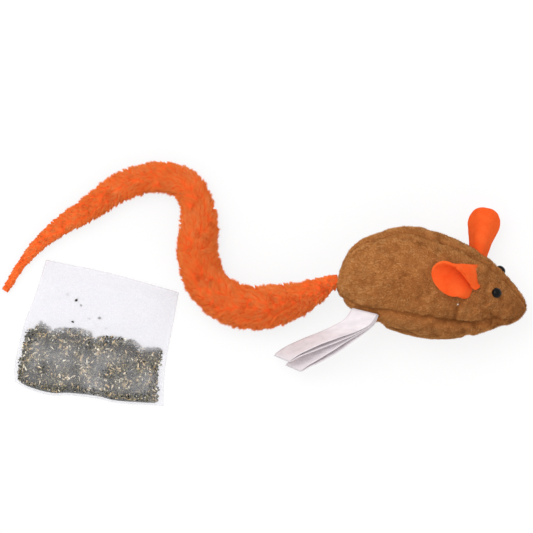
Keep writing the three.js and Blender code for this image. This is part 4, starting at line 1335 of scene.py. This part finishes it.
@dataclass(frozen=True)
class Eyes:
    """Two glossy bead eyes on stems."""

    form: BodyForm
    along: float = 0.721
    angle: float = 42.0
    radius: float = 2.7
    height: float = 2.4
    gap: float = 0.4
    rim: float = 0.35
    stem: float = 0.9
    stem_length: float = 6.0
    # The bead's rounded underside, which the plush hides: shares of its radius, and heights
    under: Line = ((0.5, -0.9), (0.78, -0.5), (0.94, 0.1))
    steps: int = 10
    turns: int = 32

    def seat(self, side: Side) -> Arrays:
        """An eye's place on the cloth and the way that it looks, on the table."""
        along, angle = np.array(self.along), side.angle(self.angle)
        return self.form.cloth(along, angle, 0.0), self.form.facing(along, angle)

    def build(self) -> None:
        """Turns each bead and its stem about the eye's axis."""
        foot, crown = self.gap + self.rim, self.height - self.rim
        for side in Side:
            place, way = self.seat(side)
            aside = unit(np.cross(way, UP))
            outline = [(0.0, -self.stem_length), (self.stem, -self.stem_length)]
            outline += [(self.stem, self.under[0][1])]
            outline += [(self.radius * share, height) for share, height in self.under]
            for lift in np.linspace(0, math.pi / 2, self.steps + 1):
                outline.append((self.radius * math.cos(lift), foot + crown * math.sin(lift)))
            made = bmesh.new()
            verts = [made.verts.new((place + aside * r + way * h) * MM) for r, h in outline]
            edges = [made.edges.new(pair) for pair in zip(verts, verts[1:])]
            bmesh.ops.spin(
                made, geom=verts + edges, cent=place * MM, axis=way, angle=FULL_TURN, steps=self.turns,
                use_merge=True,
            )
            bmesh.ops.remove_doubles(made, verts=made.verts, dist=WELD * 10)
            bmesh.ops.recalc_face_normals(made, faces=made.faces)
            bead = mesh_object(f"eye_bead_{side.value}", made)
            settle(bead, BEAD, Body.MOUSE, "eye_bead", (f"eye_{side.value}",))
            washer = bpy.data.objects[f"eye_washer_{side.value}"]
            washer.data.materials.clear()
            washer.data.materials.append(WASHER.material())


@dataclass(frozen=True)
class EarPose:
    """How an ear lies.

    Attributes:
        heading: where it points, in degrees.
        pitch: how far it points up.
        roll: its turn about its own length.
        lift: how far it stands off its root.
        fold: how much wider its root is.
        base_bends: how far its far and near walls bend at its root.
        tip_bends: the same at its tip.
        shift: how far it is moved along its length and across.
        trims: how far its near and far corners are cut back.
        sewn_down: how far its root is drawn to the head, from 0 to 1.
    """

    heading: float
    pitch: float
    roll: float
    lift: float
    fold: float
    base_bends: Pair
    tip_bends: Pair
    shift: Pair
    trims: Pair
    sewn_down: float


@dataclass(frozen=True)
class Ears:
    """Two ears, each one leaf of felt folded at its root and sewn into the head."""

    form: BodyForm
    along: float = 0.625
    angle: float = 60.0
    length: float = 23.0
    width: float = 26.0
    base_width: float = 24.0
    widest: float = 0.55
    sunk: float = 4.4
    base_radius: float = 2.0
    tip_radius: float = 6.0
    bend_from: float = 0.12
    felt: float = 1.2
    soft_edge: float = 0.35
    unevenness: float = 0.12
    rows: int = 44
    columns: int = 56
    fine_rows: int = 400
    tip_share: float = 0.998
    # The felt starts at the head's face, unless that is past the second share
    head_face: float = 0.985
    root_most: float = 0.6
    # How the near and far corners are cut round, in shares of their trims
    near_cut: Triple = (0.1, 0.95, 0.4)
    far_cut: Pair = (0.7, 0.3)
    corner_power: int = 12
    # How deep the root is sewn in, how far up it is drawn, and how free its folded corner is
    root_depth: float = 4.0
    root_reach: float = 0.3
    corner_free: float = 0.7
    # How the fold runs out towards the tip, and the far wall's share of it
    fold_power: float = 1.5
    far_fold: float = 0.5
    flat_spare: float = 1.02
    poses: tuple[EarPose, EarPose] = (
        EarPose(
            heading=79, pitch=-6, roll=180, lift=0, fold=0, base_bends=(74, 74), tip_bends=(52, 52),
            shift=(0.8, 0.0), trims=(0.0, 0.0), sewn_down=0.0,
        ),
        EarPose(
            heading=190, pitch=24, roll=6, lift=0.4, fold=0.92, base_bends=(14, 172), tip_bends=(16, 62),
            shift=(1.9, -1.1), trims=(0.45, 0.58), sewn_down=1.0,
        ),
    )

    def half_width(self, share: Array) -> Array:
        """Half the leaf's width at a share of its length."""
        end = np.maximum(share - self.widest, 0) / (1 - self.widest)
        swell = smoothstep(share, -self.sunk / self.length, self.widest)
        straight = (self.base_width + swell * (self.width - self.base_width)) / 2
        return straight * np.sqrt(np.maximum(1 - end * end, 0))

    def frame(self, side: Side, pose: EarPose) -> Arrays:
        """An ear's root on the table, its length, the side that its hollow faces, and its width."""
        root = self.form.cloth(np.array(self.along), side.angle(self.angle), 0.0)
        heading, pitch = math.radians(pose.heading), math.radians(pose.pitch)
        ahead = np.array([math.cos(heading), math.sin(heading), 0])
        aside = np.array([-ahead[1], ahead[0], 0])
        long = ahead * math.cos(pitch) + np.array([0, 0, math.sin(pitch)])
        spin = np.array(Matrix.Rotation(math.radians(pose.roll), 3, long.tolist()))
        hollow = spin @ np.cross(long, aside)
        wide = np.cross(hollow, long)
        return root + long * pose.shift[0] + wide * pose.shift[1], long, hollow, wide

    def leaf(self, side: Side, pose: EarPose) -> Array:
        """The middle of the felt as a grid of points, trimmed where it meets the head."""
        frame = self.frame(side, pose)
        base = -self.sunk / self.length
        fine = np.linspace(base, self.tip_share, self.fine_rows)
        across = np.linspace(-1, 1, self.columns + 1)
        share, step = np.meshgrid(fine, across, indexing="ij")
        inner = self.place(frame, pose, share, step)
        head = self.form.inside(self.form.own(inner)) < self.head_face
        last = np.where(head.any(axis=0), head.shape[0] - 1 - np.argmax(head[::-1], axis=0), 0)
        starts = fine[np.minimum(last + 1, len(fine) - 2)]
        starts = np.where(starts > self.root_most, base, starts)
        # The root's corners are cut round, so that no felt stands out beside the head
        near, far = np.maximum(-across, 0), np.maximum(across, 0)
        tuck, curve, corner = self.near_cut
        cut = tuck * smoothstep(near, 0, 0.3) + curve * near**3 + corner * near**self.corner_power
        cut = base + pose.trims[0] * cut
        curve, corner = self.far_cut
        cut = cut + pose.trims[1] * (curve * smoothstep(far, 0.1, 1) + corner * far**self.corner_power)
        starts = np.maximum(starts, cut)
        ease = np.sin(np.linspace(0, math.pi / 2, self.rows + 1))[:, None]
        share = starts[None] + ease * (self.tip_share - starts[None])
        grid = self.place(frame, pose, share, np.broadcast_to(across, share.shape))
        # Both walls come down to the head at their root, but for the folded corner
        above = grid[..., 2] - self.form.top(grid[..., :2]) + self.root_depth
        drawn = pose.sewn_down * (1 - smoothstep(ease, 0, self.root_reach))
        drawn = drawn * (1 - self.corner_free * smoothstep(near, 0.5, 0.95))
        grid[..., 2] -= drawn * np.maximum(above, 0)
        return grid

    def place(self, frame: Arrays, pose: EarPose, share: Array, across: Array) -> Array:
        """Points of the bent leaf.

        Args:
            frame: the ear's root, length, hollow side and width.
            pose: how it lies.
            share: places along its length.
            across: places across it, from -1 to 1.
        Returns:
            The points, on the table.
        """
        root, long, hollow, wide = frame
        up = np.maximum(share, 0)
        far = across > 0
        fold = pose.fold * (1 - np.minimum(up / self.widest, 1) ** 2) ** self.fold_power
        fold = fold * np.where(far, self.far_fold, 1)
        ease = smoothstep(up, self.bend_from, 1.0)
        bend = [base + ease * (tip - base) for base, tip in zip(pose.base_bends, pose.tip_bends)]
        bend = np.radians(np.where(far, bend[0], bend[1]))
        radius = self.base_radius + up * (self.tip_radius - self.base_radius)
        run = np.abs(across) * self.half_width(share) * (1 + fold)
        turn = np.minimum(run / radius, bend)
        straight = np.maximum(run - radius * bend, 0)
        aside = (radius * np.sin(turn) + straight * np.cos(turn)) * np.sign(across)
        height = radius * (1 - np.cos(turn)) + straight * np.sin(turn) + pose.lift
        parts = ((share * self.length, long), (height, hollow), (aside, wide))
        return root + sum(amount[..., None] * way for amount, way in parts)

    def build(self) -> None:
        """Builds and dresses both ears."""
        for side, pose, body in zip(Side, self.poses, (Body.LEFT_EAR, Body.RIGHT_EAR)):
            grid = self.leaf(side, pose)
            grid = grid + normals_of(grid) * self.unevenness * ripple(grid, 5, 31)[..., None]
            ear = mesh_object(f"ear_felt_{side.value}", sheet_bmesh(grid))
            thicken(ear, self.felt, 0)
            soften(ear, self.soft_edge)
            settle(ear, ORANGE_FELT, body, "orange_felt", (f"ear_{side.value}",))
            # Rows near the root follow its slanting cut, so the width is taken past them
            width = lengths(grid, 1)[self.rows // 5 :].max()
            length = lengths(grid[:, self.columns // 2], 0)
            area = cell_areas(grid).sum()


def soften(piece: Piece, width: float) -> None:
    """Rounds the cut edges of a thick sheet."""
    edge = piece.modifiers.new("soft edge", "BEVEL")
    edge.width = width * MM
    edge.segments = 2
    edge.limit_method = "ANGLE"
    edge.angle_limit = math.radians(60)


@dataclass(frozen=True)
class Tail:
    """The tail: one S of long-pile tube over a fibre core, from the rump to its blunt tip."""

    form: BodyForm
    standoff: float = 1.2
    landing: float = 46.0
    floor_gap: float = 0.3
    # The middle line from above, from inside the rump, as offsets from the root, and its thickness
    route: Line = (
        (2.6, 0.9), (0, 0), (-8, -4.2), (-17.8, -9), (-30, -12.4), (-42, -13.8), (-55.2, -10.7),
        (-66.4, -0.8), (-71.1, 14.1), (-70.6, 29.3), (-71.8, 40.5), (-77.4, 50.6), (-90, 54.9),
        (-102.8, 52.9), (-112.8, 48.9), (-128.2, 38.2), (-144.6, 27.9), (-156.5, 17.7), (-164, 8.6),
        (-172.4, -4.8),
    )
    thickness: Values = (
        7.2, 7.9, 12.8, 17.6, 21.8, 22.8, 22.4, 21.6, 21.8, 20,
        17.6, 16.6, 16.4, 15.6, 15, 13, 9.8, 7.2, 5.3, 4.2,
    )
    stub: float = 2.75
    steps: int = 260
    sides: int = 40
    cap_share: float = 0.6
    core_inset: float = 0.5
    # The pile's length as a share of the radius, its limits, and how deep the knit lies under it
    pile_share: float = 0.34
    pile_most: float = 3.1
    pile_least: float = 0.9
    pile_depth: float = 0.62
    pile_width: float = 0.34
    pile_seed: int = 60
    stretches: int = 4
    fibres: int = 56000
    lock_fibres: int = 60
    lock_pull: float = 0.6
    # How far the fibres lie along the tail, as brushed and astray, and how many of them stand up
    lay: float = 0.6
    brush: float = 0.6
    brush_size: float = 8.0
    stray: float = 0.25
    upright: float = 0.3
    lying: float = 0.6
    length_spread: Pair = (0.75, 1.1)
    length_patch: float = 0.2
    length_patch_size: float = 4.0
    # The tone of the fibres, how far patches, locks and chance change it, and the painted shade that darkens
    # fibres towards a lock's rim, between the locks
    tone: float = 0.65
    tone_patch: float = 0.12
    tone_patch_size: float = 12.0
    tone_lock: float = 0.2
    tone_stray: float = 0.1
    lock_gap_shade: float = 0.12
    through_light: float = 1.5

    def line(self) -> Arrays:
        """The middle line on the table, and the radius along it."""
        root = self.form.on_table(self.form.rump - np.array([self.standoff, 0, 0]))
        shares = even(self.steps)
        plan, through = smooth_line(np.array(self.route) + root[:2], shares)
        radius = spline(self.thickness, through) / 2
        run = lengths(plan, 0) * shares - self.stub
        fall = np.clip(run / self.landing, 0, 1)
        fall = fall**3 * (fall * (fall * 6 - 15) + 10)
        height = root[2] + fall * (radius + self.floor_gap - root[2])
        return np.column_stack([plan, height]), radius

    def tube(self, radius: Array, line: Array) -> Array:
        """Rings round the middle line as a grid of points that faces out."""
        ahead = unit(np.gradient(line, axis=0))
        aside = unit(np.cross(ahead, [0, 0, 1]))
        above = np.cross(aside, ahead)
        angle = -np.linspace(0, FULL_TURN, self.sides + 1)[None, :, None]
        ring = np.cos(angle) * aside[:, None] + np.sin(angle) * above[:, None]
        grid = line[:, None] + ring * radius[:, None, None]
        grid[:, -1] = grid[:, 0]
        return grid

    def build(self) -> None:
        """Builds and dresses the tube, its pile and its core."""
        line, radius = self.line()
        length = np.clip(self.pile_share * radius, self.pile_least, self.pile_most)
        skin = self.tube(radius - self.pile_depth * length, line)
        rump, tip = line[:1, None], line[-1:, None]
        caps = [rump + (skin[:1] - rump) * share for share in (0.0, self.cap_share)]
        tips = [tip + (skin[-1:] - tip) * share for share in (self.cap_share, 0.0)]
        made = sheet_bmesh(np.concatenate([*caps, skin, *tips]), weld=True)
        bmesh.ops.recalc_face_normals(made, faces=made.faces)
        cover = mesh_object("tail_knit", made)
        settle(cover, ORANGE_KNIT, Body.TAIL, "orange_fur", ("tail_cover",))
        cuts = np.linspace(0, self.steps, self.stretches + 1).astype(int)
        weights = [radius[a : b + 1].sum() for a, b in zip(cuts, cuts[1:])]
        for k, (start, end) in enumerate(zip(cuts, cuts[1:])):
            count = int(self.fibres * weights[k] / max(weights))
            part = slice(start, end + 1)
            pile = self.pile(f"tail_pile_{k + 1}", skin[part], length[part], count, self.pile_seed + k)
            settle(pile, ORANGE_PILE, Body.TAIL, "orange_fur")
        lumpy("tail_fibre", "tail_filling", Body.TAIL, self.core_inset)

    def pile(self, name: str, skin: Array, length: Array, count: int, seed: int) -> Piece:
        """The long pile of a stretch of the tail, brushed towards its tip and parted into locks.

        Args:
            name: the piece's name.
            skin: the tube's face.
            length: the fibres' length along it.
            count: how many fibres.
            seed: the source of chance.
        Returns:
            The pile.
        """
        rng = default_rng(seed)
        rows, columns, roots, facing = rooted(skin, count, rng)
        ahead = unit(sample(np.gradient(skin, axis=0), rows, columns))
        lean = self.lay * ahead + self.brush * brushing(roots, self.brush_size, 90)
        lean = lean + rng.normal(0, self.stray, (count, 3))
        stand = np.where(rng.random(count) < self.upright, 1.0, self.lying)[:, None]
        ways = leaning(facing, stand, lean)
        reach = np.interp(rows, np.arange(len(length)), length) * rng.uniform(*self.length_spread, count)
        reach = reach * (1 + self.length_patch * ripple(roots, self.length_patch_size, 95))
        locks = count // self.lock_fibres
        ways, chance, away = gather(roots, ways * reach[:, None], locks, self.lock_pull, rng)
        tone = self.tone + self.tone_patch * ripple(roots, self.tone_patch_size, 96)
        tone = tone + self.tone_lock * (chance - 0.5) + rng.normal(0, self.tone_stray, count)
        # Painted shade between locks: fibres far from their lock's middle are darker
        tone = tone - self.lock_gap_shade * away / away.mean()
        widths = self.pile_width * rng.uniform(*WIDTH_SPREAD, count)
        # Light passes through long loose fibres, so the sides shade almost as the top does
        lit = unit(facing + self.through_light * UP)
        return pile_object(name, roots, ways, widths, lit, tone)


@dataclass(frozen=True)
class Labels:
    """Two satin labels sewn into the near belly seam as loops, left bare."""

    form: BodyForm
    along: float = 0.278
    width: float = 15.0
    # The thickness that the solid holds, and the share of it that the satin takes
    satin: float = 0.4
    satin_share: float = 0.7
    gap: float = 0.3
    seat: float = 0.4
    opening: float = 2.0
    twist_share: float = 0.6
    spread: float = 3.0
    route: tuple[Triple, ...] = (
        (0, 0, 0), (-3, -5, 0), (-10, -9.5, -3), (-20, -14, -8), (-30, -18, -13), (-38, -21.5, -16.5),
        (-43.5, -25, -18.5),
    )
    end_across: Triple = (0.52, -0.22, 0.82)
    care_shift: Triple = (3.4, -2.4, -0.8)
    care_from: float = 0.3
    wave: float = 0.22
    wave_size: float = 15.0
    steps: int = 40
    fine_steps: int = 200
    columns: int = 14

    def half_gap(self, share: Array) -> Array:
        """Half the room between the layers of a loop."""
        return self.satin / 2 + self.gap / 2 + self.opening / 2 * np.sin(np.pi * share)

    def seam_at(self, along: Array) -> Array:
        """A point of the seam that holds the labels, on the table."""
        return self.form.on_table(self.form.surface(along, self.form.seams(along)["right_belly"]))

    def frames(self, share: Array, drop: Array) -> Arrays:
        """The middle, width and face of a loop at shares of its length, at a drop under the first."""
        along = np.array(self.along)
        angle = self.form.seams(along)["right_belly"]
        forward = self.form.tangents(along, angle)[0]
        reach = self.width / 2 / norm(forward)
        root = self.seam_at(along) + self.seat * self.form.facing(along, angle)
        first = unit(self.seam_at(along + reach) - self.seam_at(along - reach))
        fine = even(self.fine_steps)
        line = smooth_line(np.array(self.route), fine)[0]
        ahead = unit(np.gradient(line, axis=0))
        middle = np.stack([np.interp(share, fine, axis) for axis in line.T], axis=-1)
        ahead = np.stack([np.interp(share, fine, axis) for axis in ahead.T], axis=-1)
        twist = smoothstep(share, 0, self.twist_share)[:, None]
        across = unit(first * (1 - twist) + np.array(self.end_across) * twist)
        face = unit(np.cross(ahead, across))
        return root + middle - face * drop[:, None], across, face

    def loop(self, drop: bool) -> Array:
        """A folded strip as a grid: out along its upper layer and back along its lower one."""
        out = even(self.steps)
        share = np.concatenate([out, out[-2::-1]])
        side = np.concatenate([np.ones(len(out)), -np.ones(len(out) - 1)])
        side[len(out) - 1] = 0
        gap = self.half_gap(share)
        down = 2 * gap + self.satin + self.gap + self.spread * share if drop else 0 * share
        middle, across, face = self.frames(share, down)
        if drop:
            care = smoothstep(share, self.care_from, 1)[:, None]
            middle = middle + care * np.array(self.care_shift)
        width = np.linspace(-0.5, 0.5, self.columns + 1)
        grid = middle[:, None] + face[:, None] * (side * gap)[:, None, None]
        grid = grid + across[:, None] * (width * self.width)[None, :, None]
        wave = self.wave * ripple(grid, self.wave_size, 51 + drop) * np.sin(np.pi * share)[:, None]
        return grid + face[:, None] * wave[..., None]

    def build(self) -> None:
        """Builds and dresses both labels."""
        for drop, name, node in ((False, "label_sewn", "sewn_label"), (True, "label_care", "care_label")):
            grid = self.loop(drop)
            label = mesh_object(name, sheet_bmesh(grid))
            run = lengths(grid, 0).mean()
            layer = label.data.uv_layers.new(name="cloth")
            rows, columns = grid.shape[:2]
            for corner in label.data.loops:
                row, column = divmod(corner.vertex_index, columns)
                place = (column / (columns - 1) * self.width * MM, row / (rows - 1) * run * MM)
                layer.data[corner.index].uv = place
            thicken(label, self.satin * self.satin_share, 0)
            settle(label, SATIN, Body.LABELS, "satin", (node,))


@dataclass(frozen=True)
class Sachet:
    """The sachet: two sealed sheets of nonwoven web, with crushed leaf in the lower part."""

    # The four edges on the table's plan, each from left to right or from top to bottom
    top_edge: Line = ((-200.2, 15.8), (-166.8, 8.8), (-130.4, -1.3))
    right_edge: Line = (
        (-130.4, -1.3), (-132.8, -14.6), (-135.9, -30.5), (-138, -45.1), (-138.6, -60.9),
    )
    low_edge: Line = (
        (-216.4, -48.2), (-209.4, -52.1), (-197.3, -55.4), (-188.4, -55.4), (-173.2, -57.1), (-163.7, -59.3),
        (-138.6, -60.9),
    )
    left_edge: Line = (
        (-200.2, 15.8), (-205.6, -2), (-211.3, -17.1), (-216.7, -40.6), (-216.4, -48.2),
    )
    web: float = 0.35
    floor: float = 0.7
    leaf_height: float = 6.5
    seal: float = 0.016
    spread: Pair = (75.0, 62.0)
    rows: int = 84
    columns: int = 96
    heap_rows: int = 60
    heap_columns: int = 90
    flakes: int = 9000
    stems: int = 420
    # Half lengths of flakes, stems and specks along their three axes, for a size of one
    flake_shape: Values = (1.3, 0.85, 0.5)
    stem_shape: Values = (1.9, 0.5, 0.4)
    speck_shape: Values = (1.5, 1.1, 0.7)
    speck_tone: float = 0.15
    # The leaf's upper edge, from left to right: a place across and how far down it lies
    leaf_across: Values = (
        0, 0.02, 0.075, 0.09, 0.12, 0.16, 0.185, 0.24, 0.345,
        0.455, 0.48, 0.59, 0.675, 0.77, 0.825, 0.91, 1,
    )
    leaf_down: Values = (
        0.66, 0.59, 0.55, 0.5, 0.485, 0.505, 0.53, 0.505, 0.49,
        0.5, 0.545, 0.505, 0.49, 0.5, 0.545, 0.525, 0.54,
    )
    leaf_left: float = 0.035
    leaf_right: float = 0.045
    leaf_slope: float = 0.07
    # Loose specks in the empty part: a place across, a place down and a size
    specks: tuple[Triple, ...] = (
        (0.22, 0.225, 0.5), (0.29, 0.255, 1.0), (0.335, 0.29, 0.8), (0.315, 0.425, 1.0), (0.42, 0.385, 0.5),
        (0.485, 0.365, 0.9), (0.55, 0.435, 0.5), (0.655, 0.32, 0.35),
    )

    def plan(self, across: Array, down: Array) -> Array:
        """Places on the table's plan, between the four edges."""
        across, down = (np.array(part, float) for part in np.broadcast_arrays(across, down))
        x, y = across[..., None], down[..., None]
        top, low = (smooth_line(np.array(edge), across)[0] for edge in (self.top_edge, self.low_edge))
        left, right = (smooth_line(np.array(edge), down)[0] for edge in (self.left_edge, self.right_edge))
        a, b = np.array(self.top_edge[0]), np.array(self.top_edge[-1])
        d, c = np.array(self.low_edge[0]), np.array(self.low_edge[-1])
        corners = (a * (1 - x) + b * x) * (1 - y) + (d * (1 - x) + c * x) * y
        return top * (1 - y) + low * y + left * (1 - x) + right * x - corners

    def spot(self, across: Array, down: Array) -> Array:
        """Places on the flat sheet, which its ripples are read at."""
        return np.stack([across * self.spread[0], down * self.spread[1], 0 * across], axis=-1)

    def leaf_edge(self, across: Array) -> Array:
        """How far down the leaf's upper edge lies."""
        return np.interp(across, self.leaf_across, self.leaf_down)

    def leaf_top(self, across: Array, down: Array) -> Array:
        """How high the leaf lies: full in the lower part, none towards its edge and the seal."""
        sides = smoothstep(across, self.leaf_left * 0.6, self.leaf_left + self.leaf_slope)
        sides = sides * smoothstep(1 - across, self.leaf_right * 0.6, self.leaf_right + self.leaf_slope)
        foot = smoothstep(1 - down, self.seal * 0.6, 6 * self.seal)
        rise = smoothstep(down - self.leaf_edge(across), -0.01, 0.16)
        lumps = 0.82 + 0.18 * ripple(self.spot(across, down), 17, 61)
        return self.leaf_height * sides * foot * rise * lumps

    def top(self, across: Array, down: Array) -> Array:
        """The height of the upper sheet: over the leaf, and loosely creased where there is none."""
        spot = self.spot(across, down)
        inside = np.minimum(np.minimum(across, 1 - across), np.minimum(down, 1 - down))
        loose = smoothstep(inside, 0.01, 0.12)
        slack = 0.55 + 0.45 * ripple(spot, 19, 62) + 0.12 * ripple(spot, 7, 63)
        return self.floor + self.leaf_top(across, down) + 0.5 + loose * np.maximum(slack, 0)

    def sheet(self, name: str, node: str, height: Array, lift: Array) -> None:
        """One sheet of the sachet.

        Args:
            name: the piece's name.
            node: the solid that it stands for.
            height: its height over a grid.
            lift: how far it lies off the leaf, from 0 to 1, over the same grid.
        """
        across, down = self.grid()
        grid = np.concatenate([self.plan(across, down), height[..., None]], axis=-1)
        # Rows run down the sheet, so they are turned to make its face look up
        piece = mesh_object(name, sheet_bmesh(grid[::-1]))
        thicken(piece, self.web, -1)
        mark(piece.data, "lift", lift[::-1].ravel())
        settle(piece, NONWOVEN, Body.SACHET, "nonwoven", (node,))
        area = float(cell_areas(grid).sum()) * MM**2

    def grid(self) -> Arrays:
        """Places across and down the sheets."""
        return np.meshgrid(even(self.columns), even(self.rows))

    def build(self) -> None:
        """Builds and dresses the sheets, the heap of leaf and its loose bits."""
        across, down = self.grid()
        spot = self.spot(across, down)
        below = down - self.leaf_edge(across)
        lift = 0.08 + 0.22 * ripple(spot, 22, 64) + 0.1 * ripple(spot, 8, 65)
        lift = np.clip(lift * smoothstep(below, 0.06, 0.18), 0.0, 0.5)
        bare = 1 - smoothstep(below, -0.03, 0.03)
        self.sheet("sachet_lower", "sachet_bottom_sheet", 0 * across + self.web + 0.02, 0 * across + 1)
        self.sheet("sachet_upper", "sachet_top_sheet", self.top(across, down), np.maximum(lift, bare))
        self.heap()
        self.bits()

    def heap(self) -> None:
        """The body of the heap: a lumpy bed of crushed leaf under the loose bits."""
        places = np.linspace(self.leaf_left + 0.01, 1 - self.leaf_right - 0.01, self.heap_columns)
        across, step = np.meshgrid(places, np.linspace(0, 1, self.heap_rows))
        edge = self.leaf_edge(across) + 0.03
        down = edge + step * (1 - self.seal * 1.2 - edge)
        crumbs = 0.3 * np.abs(ripple(self.spot(across, down), 3, 66))
        height = np.maximum(self.floor + 0.75 * self.leaf_top(across, down) - crumbs, self.floor)
        grid = np.concatenate([self.plan(across, down), height[..., None]], axis=-1)
        piece = mesh_object("leaf_heap", sheet_bmesh(grid[::-1]))
        settle(piece, LEAF_HEAP, Body.SACHET, "dried_leaf", ("catnip_leaf",))

    def bits(self) -> None:
        """Flakes, stems and loose specks of leaf, each a small faceted chip."""
        rng = default_rng(7)
        across = rng.uniform(self.leaf_left, 1 - self.leaf_right, self.flakes)
        across = across + rng.normal(0, 0.006, self.flakes)
        edge = self.leaf_edge(across)
        down = edge - 0.02 + rng.random(self.flakes) ** 0.9 * (1 - self.seal - edge)
        depth = rng.random(self.flakes) ** 2
        top = self.leaf_top(across, down)
        height = self.floor + 0.35 + np.maximum(top - 0.2 - 1.6 * depth, 0)
        size = rng.uniform(0.4, 1.05, (self.flakes, 1)) * np.array(self.flake_shape)
        rim = 1 - smoothstep(down - edge, 0.02, 0.12)
        shade = 0.38 - 0.12 * rim + 0.13 * ripple(self.spot(across, down), 11, 67)
        tone = np.clip(shade + rng.normal(0, 0.27, self.flakes), 0, 1)
        stem = rng.random(self.flakes) < self.stems / self.flakes
        size[stem] = rng.uniform(0.7, 1.3, (stem.sum(), 1)) * np.array(self.stem_shape)
        tone[stem] = rng.uniform(0.82, 1.0, stem.sum())
        speck = np.array(self.specks)
        across = np.append(across, speck[:, 0])
        down = np.append(down, speck[:, 1])
        height = np.append(height, np.full(len(speck), self.floor + 0.5))
        size = np.append(size, speck[:, 2:] * np.array(self.speck_shape), axis=0)
        tone = np.append(tone, np.full(len(speck), self.speck_tone))
        middles = np.concatenate([self.plan(across, down), height[:, None]], axis=-1)
        self.chips("leaf_bits", middles, size, tone, rng)

    def chips(self, name: str, middles: Array, size: Array, tone: Array, rng: Generator) -> None:
        """Many small eight-faced chips, turned at random.

        Args:
            name: the piece's name.
            middles: where they lie.
            size: their half lengths along their three axes.
            tone: their shade.
            rng: the source of chance.
        """
        count = len(middles)
        long = unit(rng.normal(size=(count, 3)) * np.array([1, 1, 0.35]))
        wide = unit(np.cross(long, rng.normal(0, 0.5, (count, 3)) + np.array([0, 0, 1])))
        thick = np.cross(long, wide)
        ends = []
        for axis, way in enumerate((long, wide, thick)):
            for sign in (1, -1):
                stretch = sign * size[:, axis] * rng.uniform(0.6, 1.1, count)
                ends.append(middles + way * stretch[:, None])
        places = np.stack(ends, axis=1)
        places[..., 2] = np.maximum(places[..., 2], self.floor)
        faces = np.array([
            [0, 2, 4], [2, 1, 4], [1, 3, 4], [3, 0, 4], [2, 0, 5], [1, 2, 5], [3, 1, 5], [0, 3, 5],
        ])
        index = (np.arange(count)[:, None, None] * 6 + faces).reshape(-1, 3)
        mesh = bpy.data.meshes.new(name)
        mesh.from_pydata(places.reshape(-1, 3) * MM, [], index)
        mark(mesh, "tone", np.repeat(tone, 6))
        mark(mesh, "rise", np.full(count * 6, 1.0))
        settle(linked(name, mesh), LEAF_BITS, Body.SACHET, "dried_leaf")


@dataclass(frozen=True)
class Studio:
    """A white table top under soft light, seen from straight above through a long lens."""

    middle: Pair = (-84.4, 12.2)
    view_width: float = 279.1
    plane: float = 20.0
    distance: float = 7000.0
    sensor: float = 36.0
    world: float = 0.92
    key: float = 9.2
    # The lamp's size and place, how far the camera sees and half the table's width, in metres
    lamp_size: float = 0.9
    lamp_place: Triple = (-0.45, 0.45, 1.45)
    sight: float = 20.0
    table: float = 3.0
    floor_glow: float = 0.8

    def camera(self) -> None:
        """The camera, looking straight down with +Y up the picture."""
        data = bpy.data.cameras.new("camera")
        data.sensor_width = self.sensor
        data.lens = self.sensor * self.distance / self.view_width
        data.clip_end = self.sight
        eye = linked("camera", data)
        eye.location = (self.middle[0] * MM, self.middle[1] * MM, (self.plane + self.distance) * MM)
        bpy.context.scene.camera = eye

    def light(self) -> None:
        """An even world and one broad lamp above, a little to the rear and left."""
        world = bpy.data.worlds.new("studio")
        world.use_nodes = True
        tree = world.node_tree
        tree.nodes.clear()
        sky = add_node(tree, "ShaderNodeBackground", {"Color": linear("ffffff"), "Strength": self.world})
        add_node(tree, "ShaderNodeOutputWorld", {"Surface": sky.outputs["Background"]})
        bpy.context.scene.world = world
        data = bpy.data.lights.new("key", "AREA")
        data.size = self.lamp_size
        data.energy = self.key
        lamp = linked("key", data)
        lamp.location = self.lamp_place
        way = Vector((self.middle[0] * MM, self.middle[1] * MM, 0)) - lamp.location
        lamp.rotation_euler = way.to_track_quat("-Z", "Y").to_euler()

    def floor(self) -> None:
        """The table top: white to the eye, and it keeps a soft shadow."""
        made = bmesh.new()
        bmesh.ops.create_grid(made, x_segments=2, y_segments=2, size=self.table)
        table = mesh_object("floor", made)
        finish = bpy.data.materials.new("white_table")
        finish.use_nodes = True
        tree = finish.node_tree
        tree.nodes.clear()
        seen = add_node(tree, "ShaderNodeLightPath")
        rays = [seen.outputs[f"Is {kind} Ray"] for kind in ("Camera", "Glossy", "Transmission")]
        either = reckon(tree, "MAXIMUM", reckon(tree, "MAXIMUM", rays[0], rays[1]), rays[2])
        glow = reckon(tree, "MULTIPLY", either, self.floor_glow)
        matt = add_node(tree, "ShaderNodeBsdfDiffuse", {"Color": linear("f4f4f4")})
        white = add_node(tree, "ShaderNodeEmission", {"Color": linear("ffffff"), "Strength": 1.0})
        parts = {0: glow, 1: matt.outputs["BSDF"], 2: white.outputs["Emission"]}
        mixed = add_node(tree, "ShaderNodeMixShader", parts)
        add_node(tree, "ShaderNodeOutputMaterial", {"Surface": mixed.outputs["Shader"]})
        table.data.materials.append(finish)

    def build(self) -> None:
        """Sets the view and builds the studio."""
        bpy.context.scene.view_settings.view_transform = "Standard"
        self.camera()
        self.light()
        self.floor()


def main() -> None:
    """Builds the studio and each part of the mouse in order."""
    logging.basicConfig(level=logging.INFO, format="%(name)s %(message)s")
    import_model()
    Studio().build()
    form = BodyForm()
    eyes = Eyes(form)
    pocket = Pocket(form)
    seats = np.array([eyes.seat(side)[0] for side in Side])
    PlushBody(form).build(seats, pocket)
    eyes.build()
    Ears(form).build()
    Tail(form).build()
    Labels(form).build()
    pocket.build()
    Sachet().build()


if __name__ == "__main__":
    main()
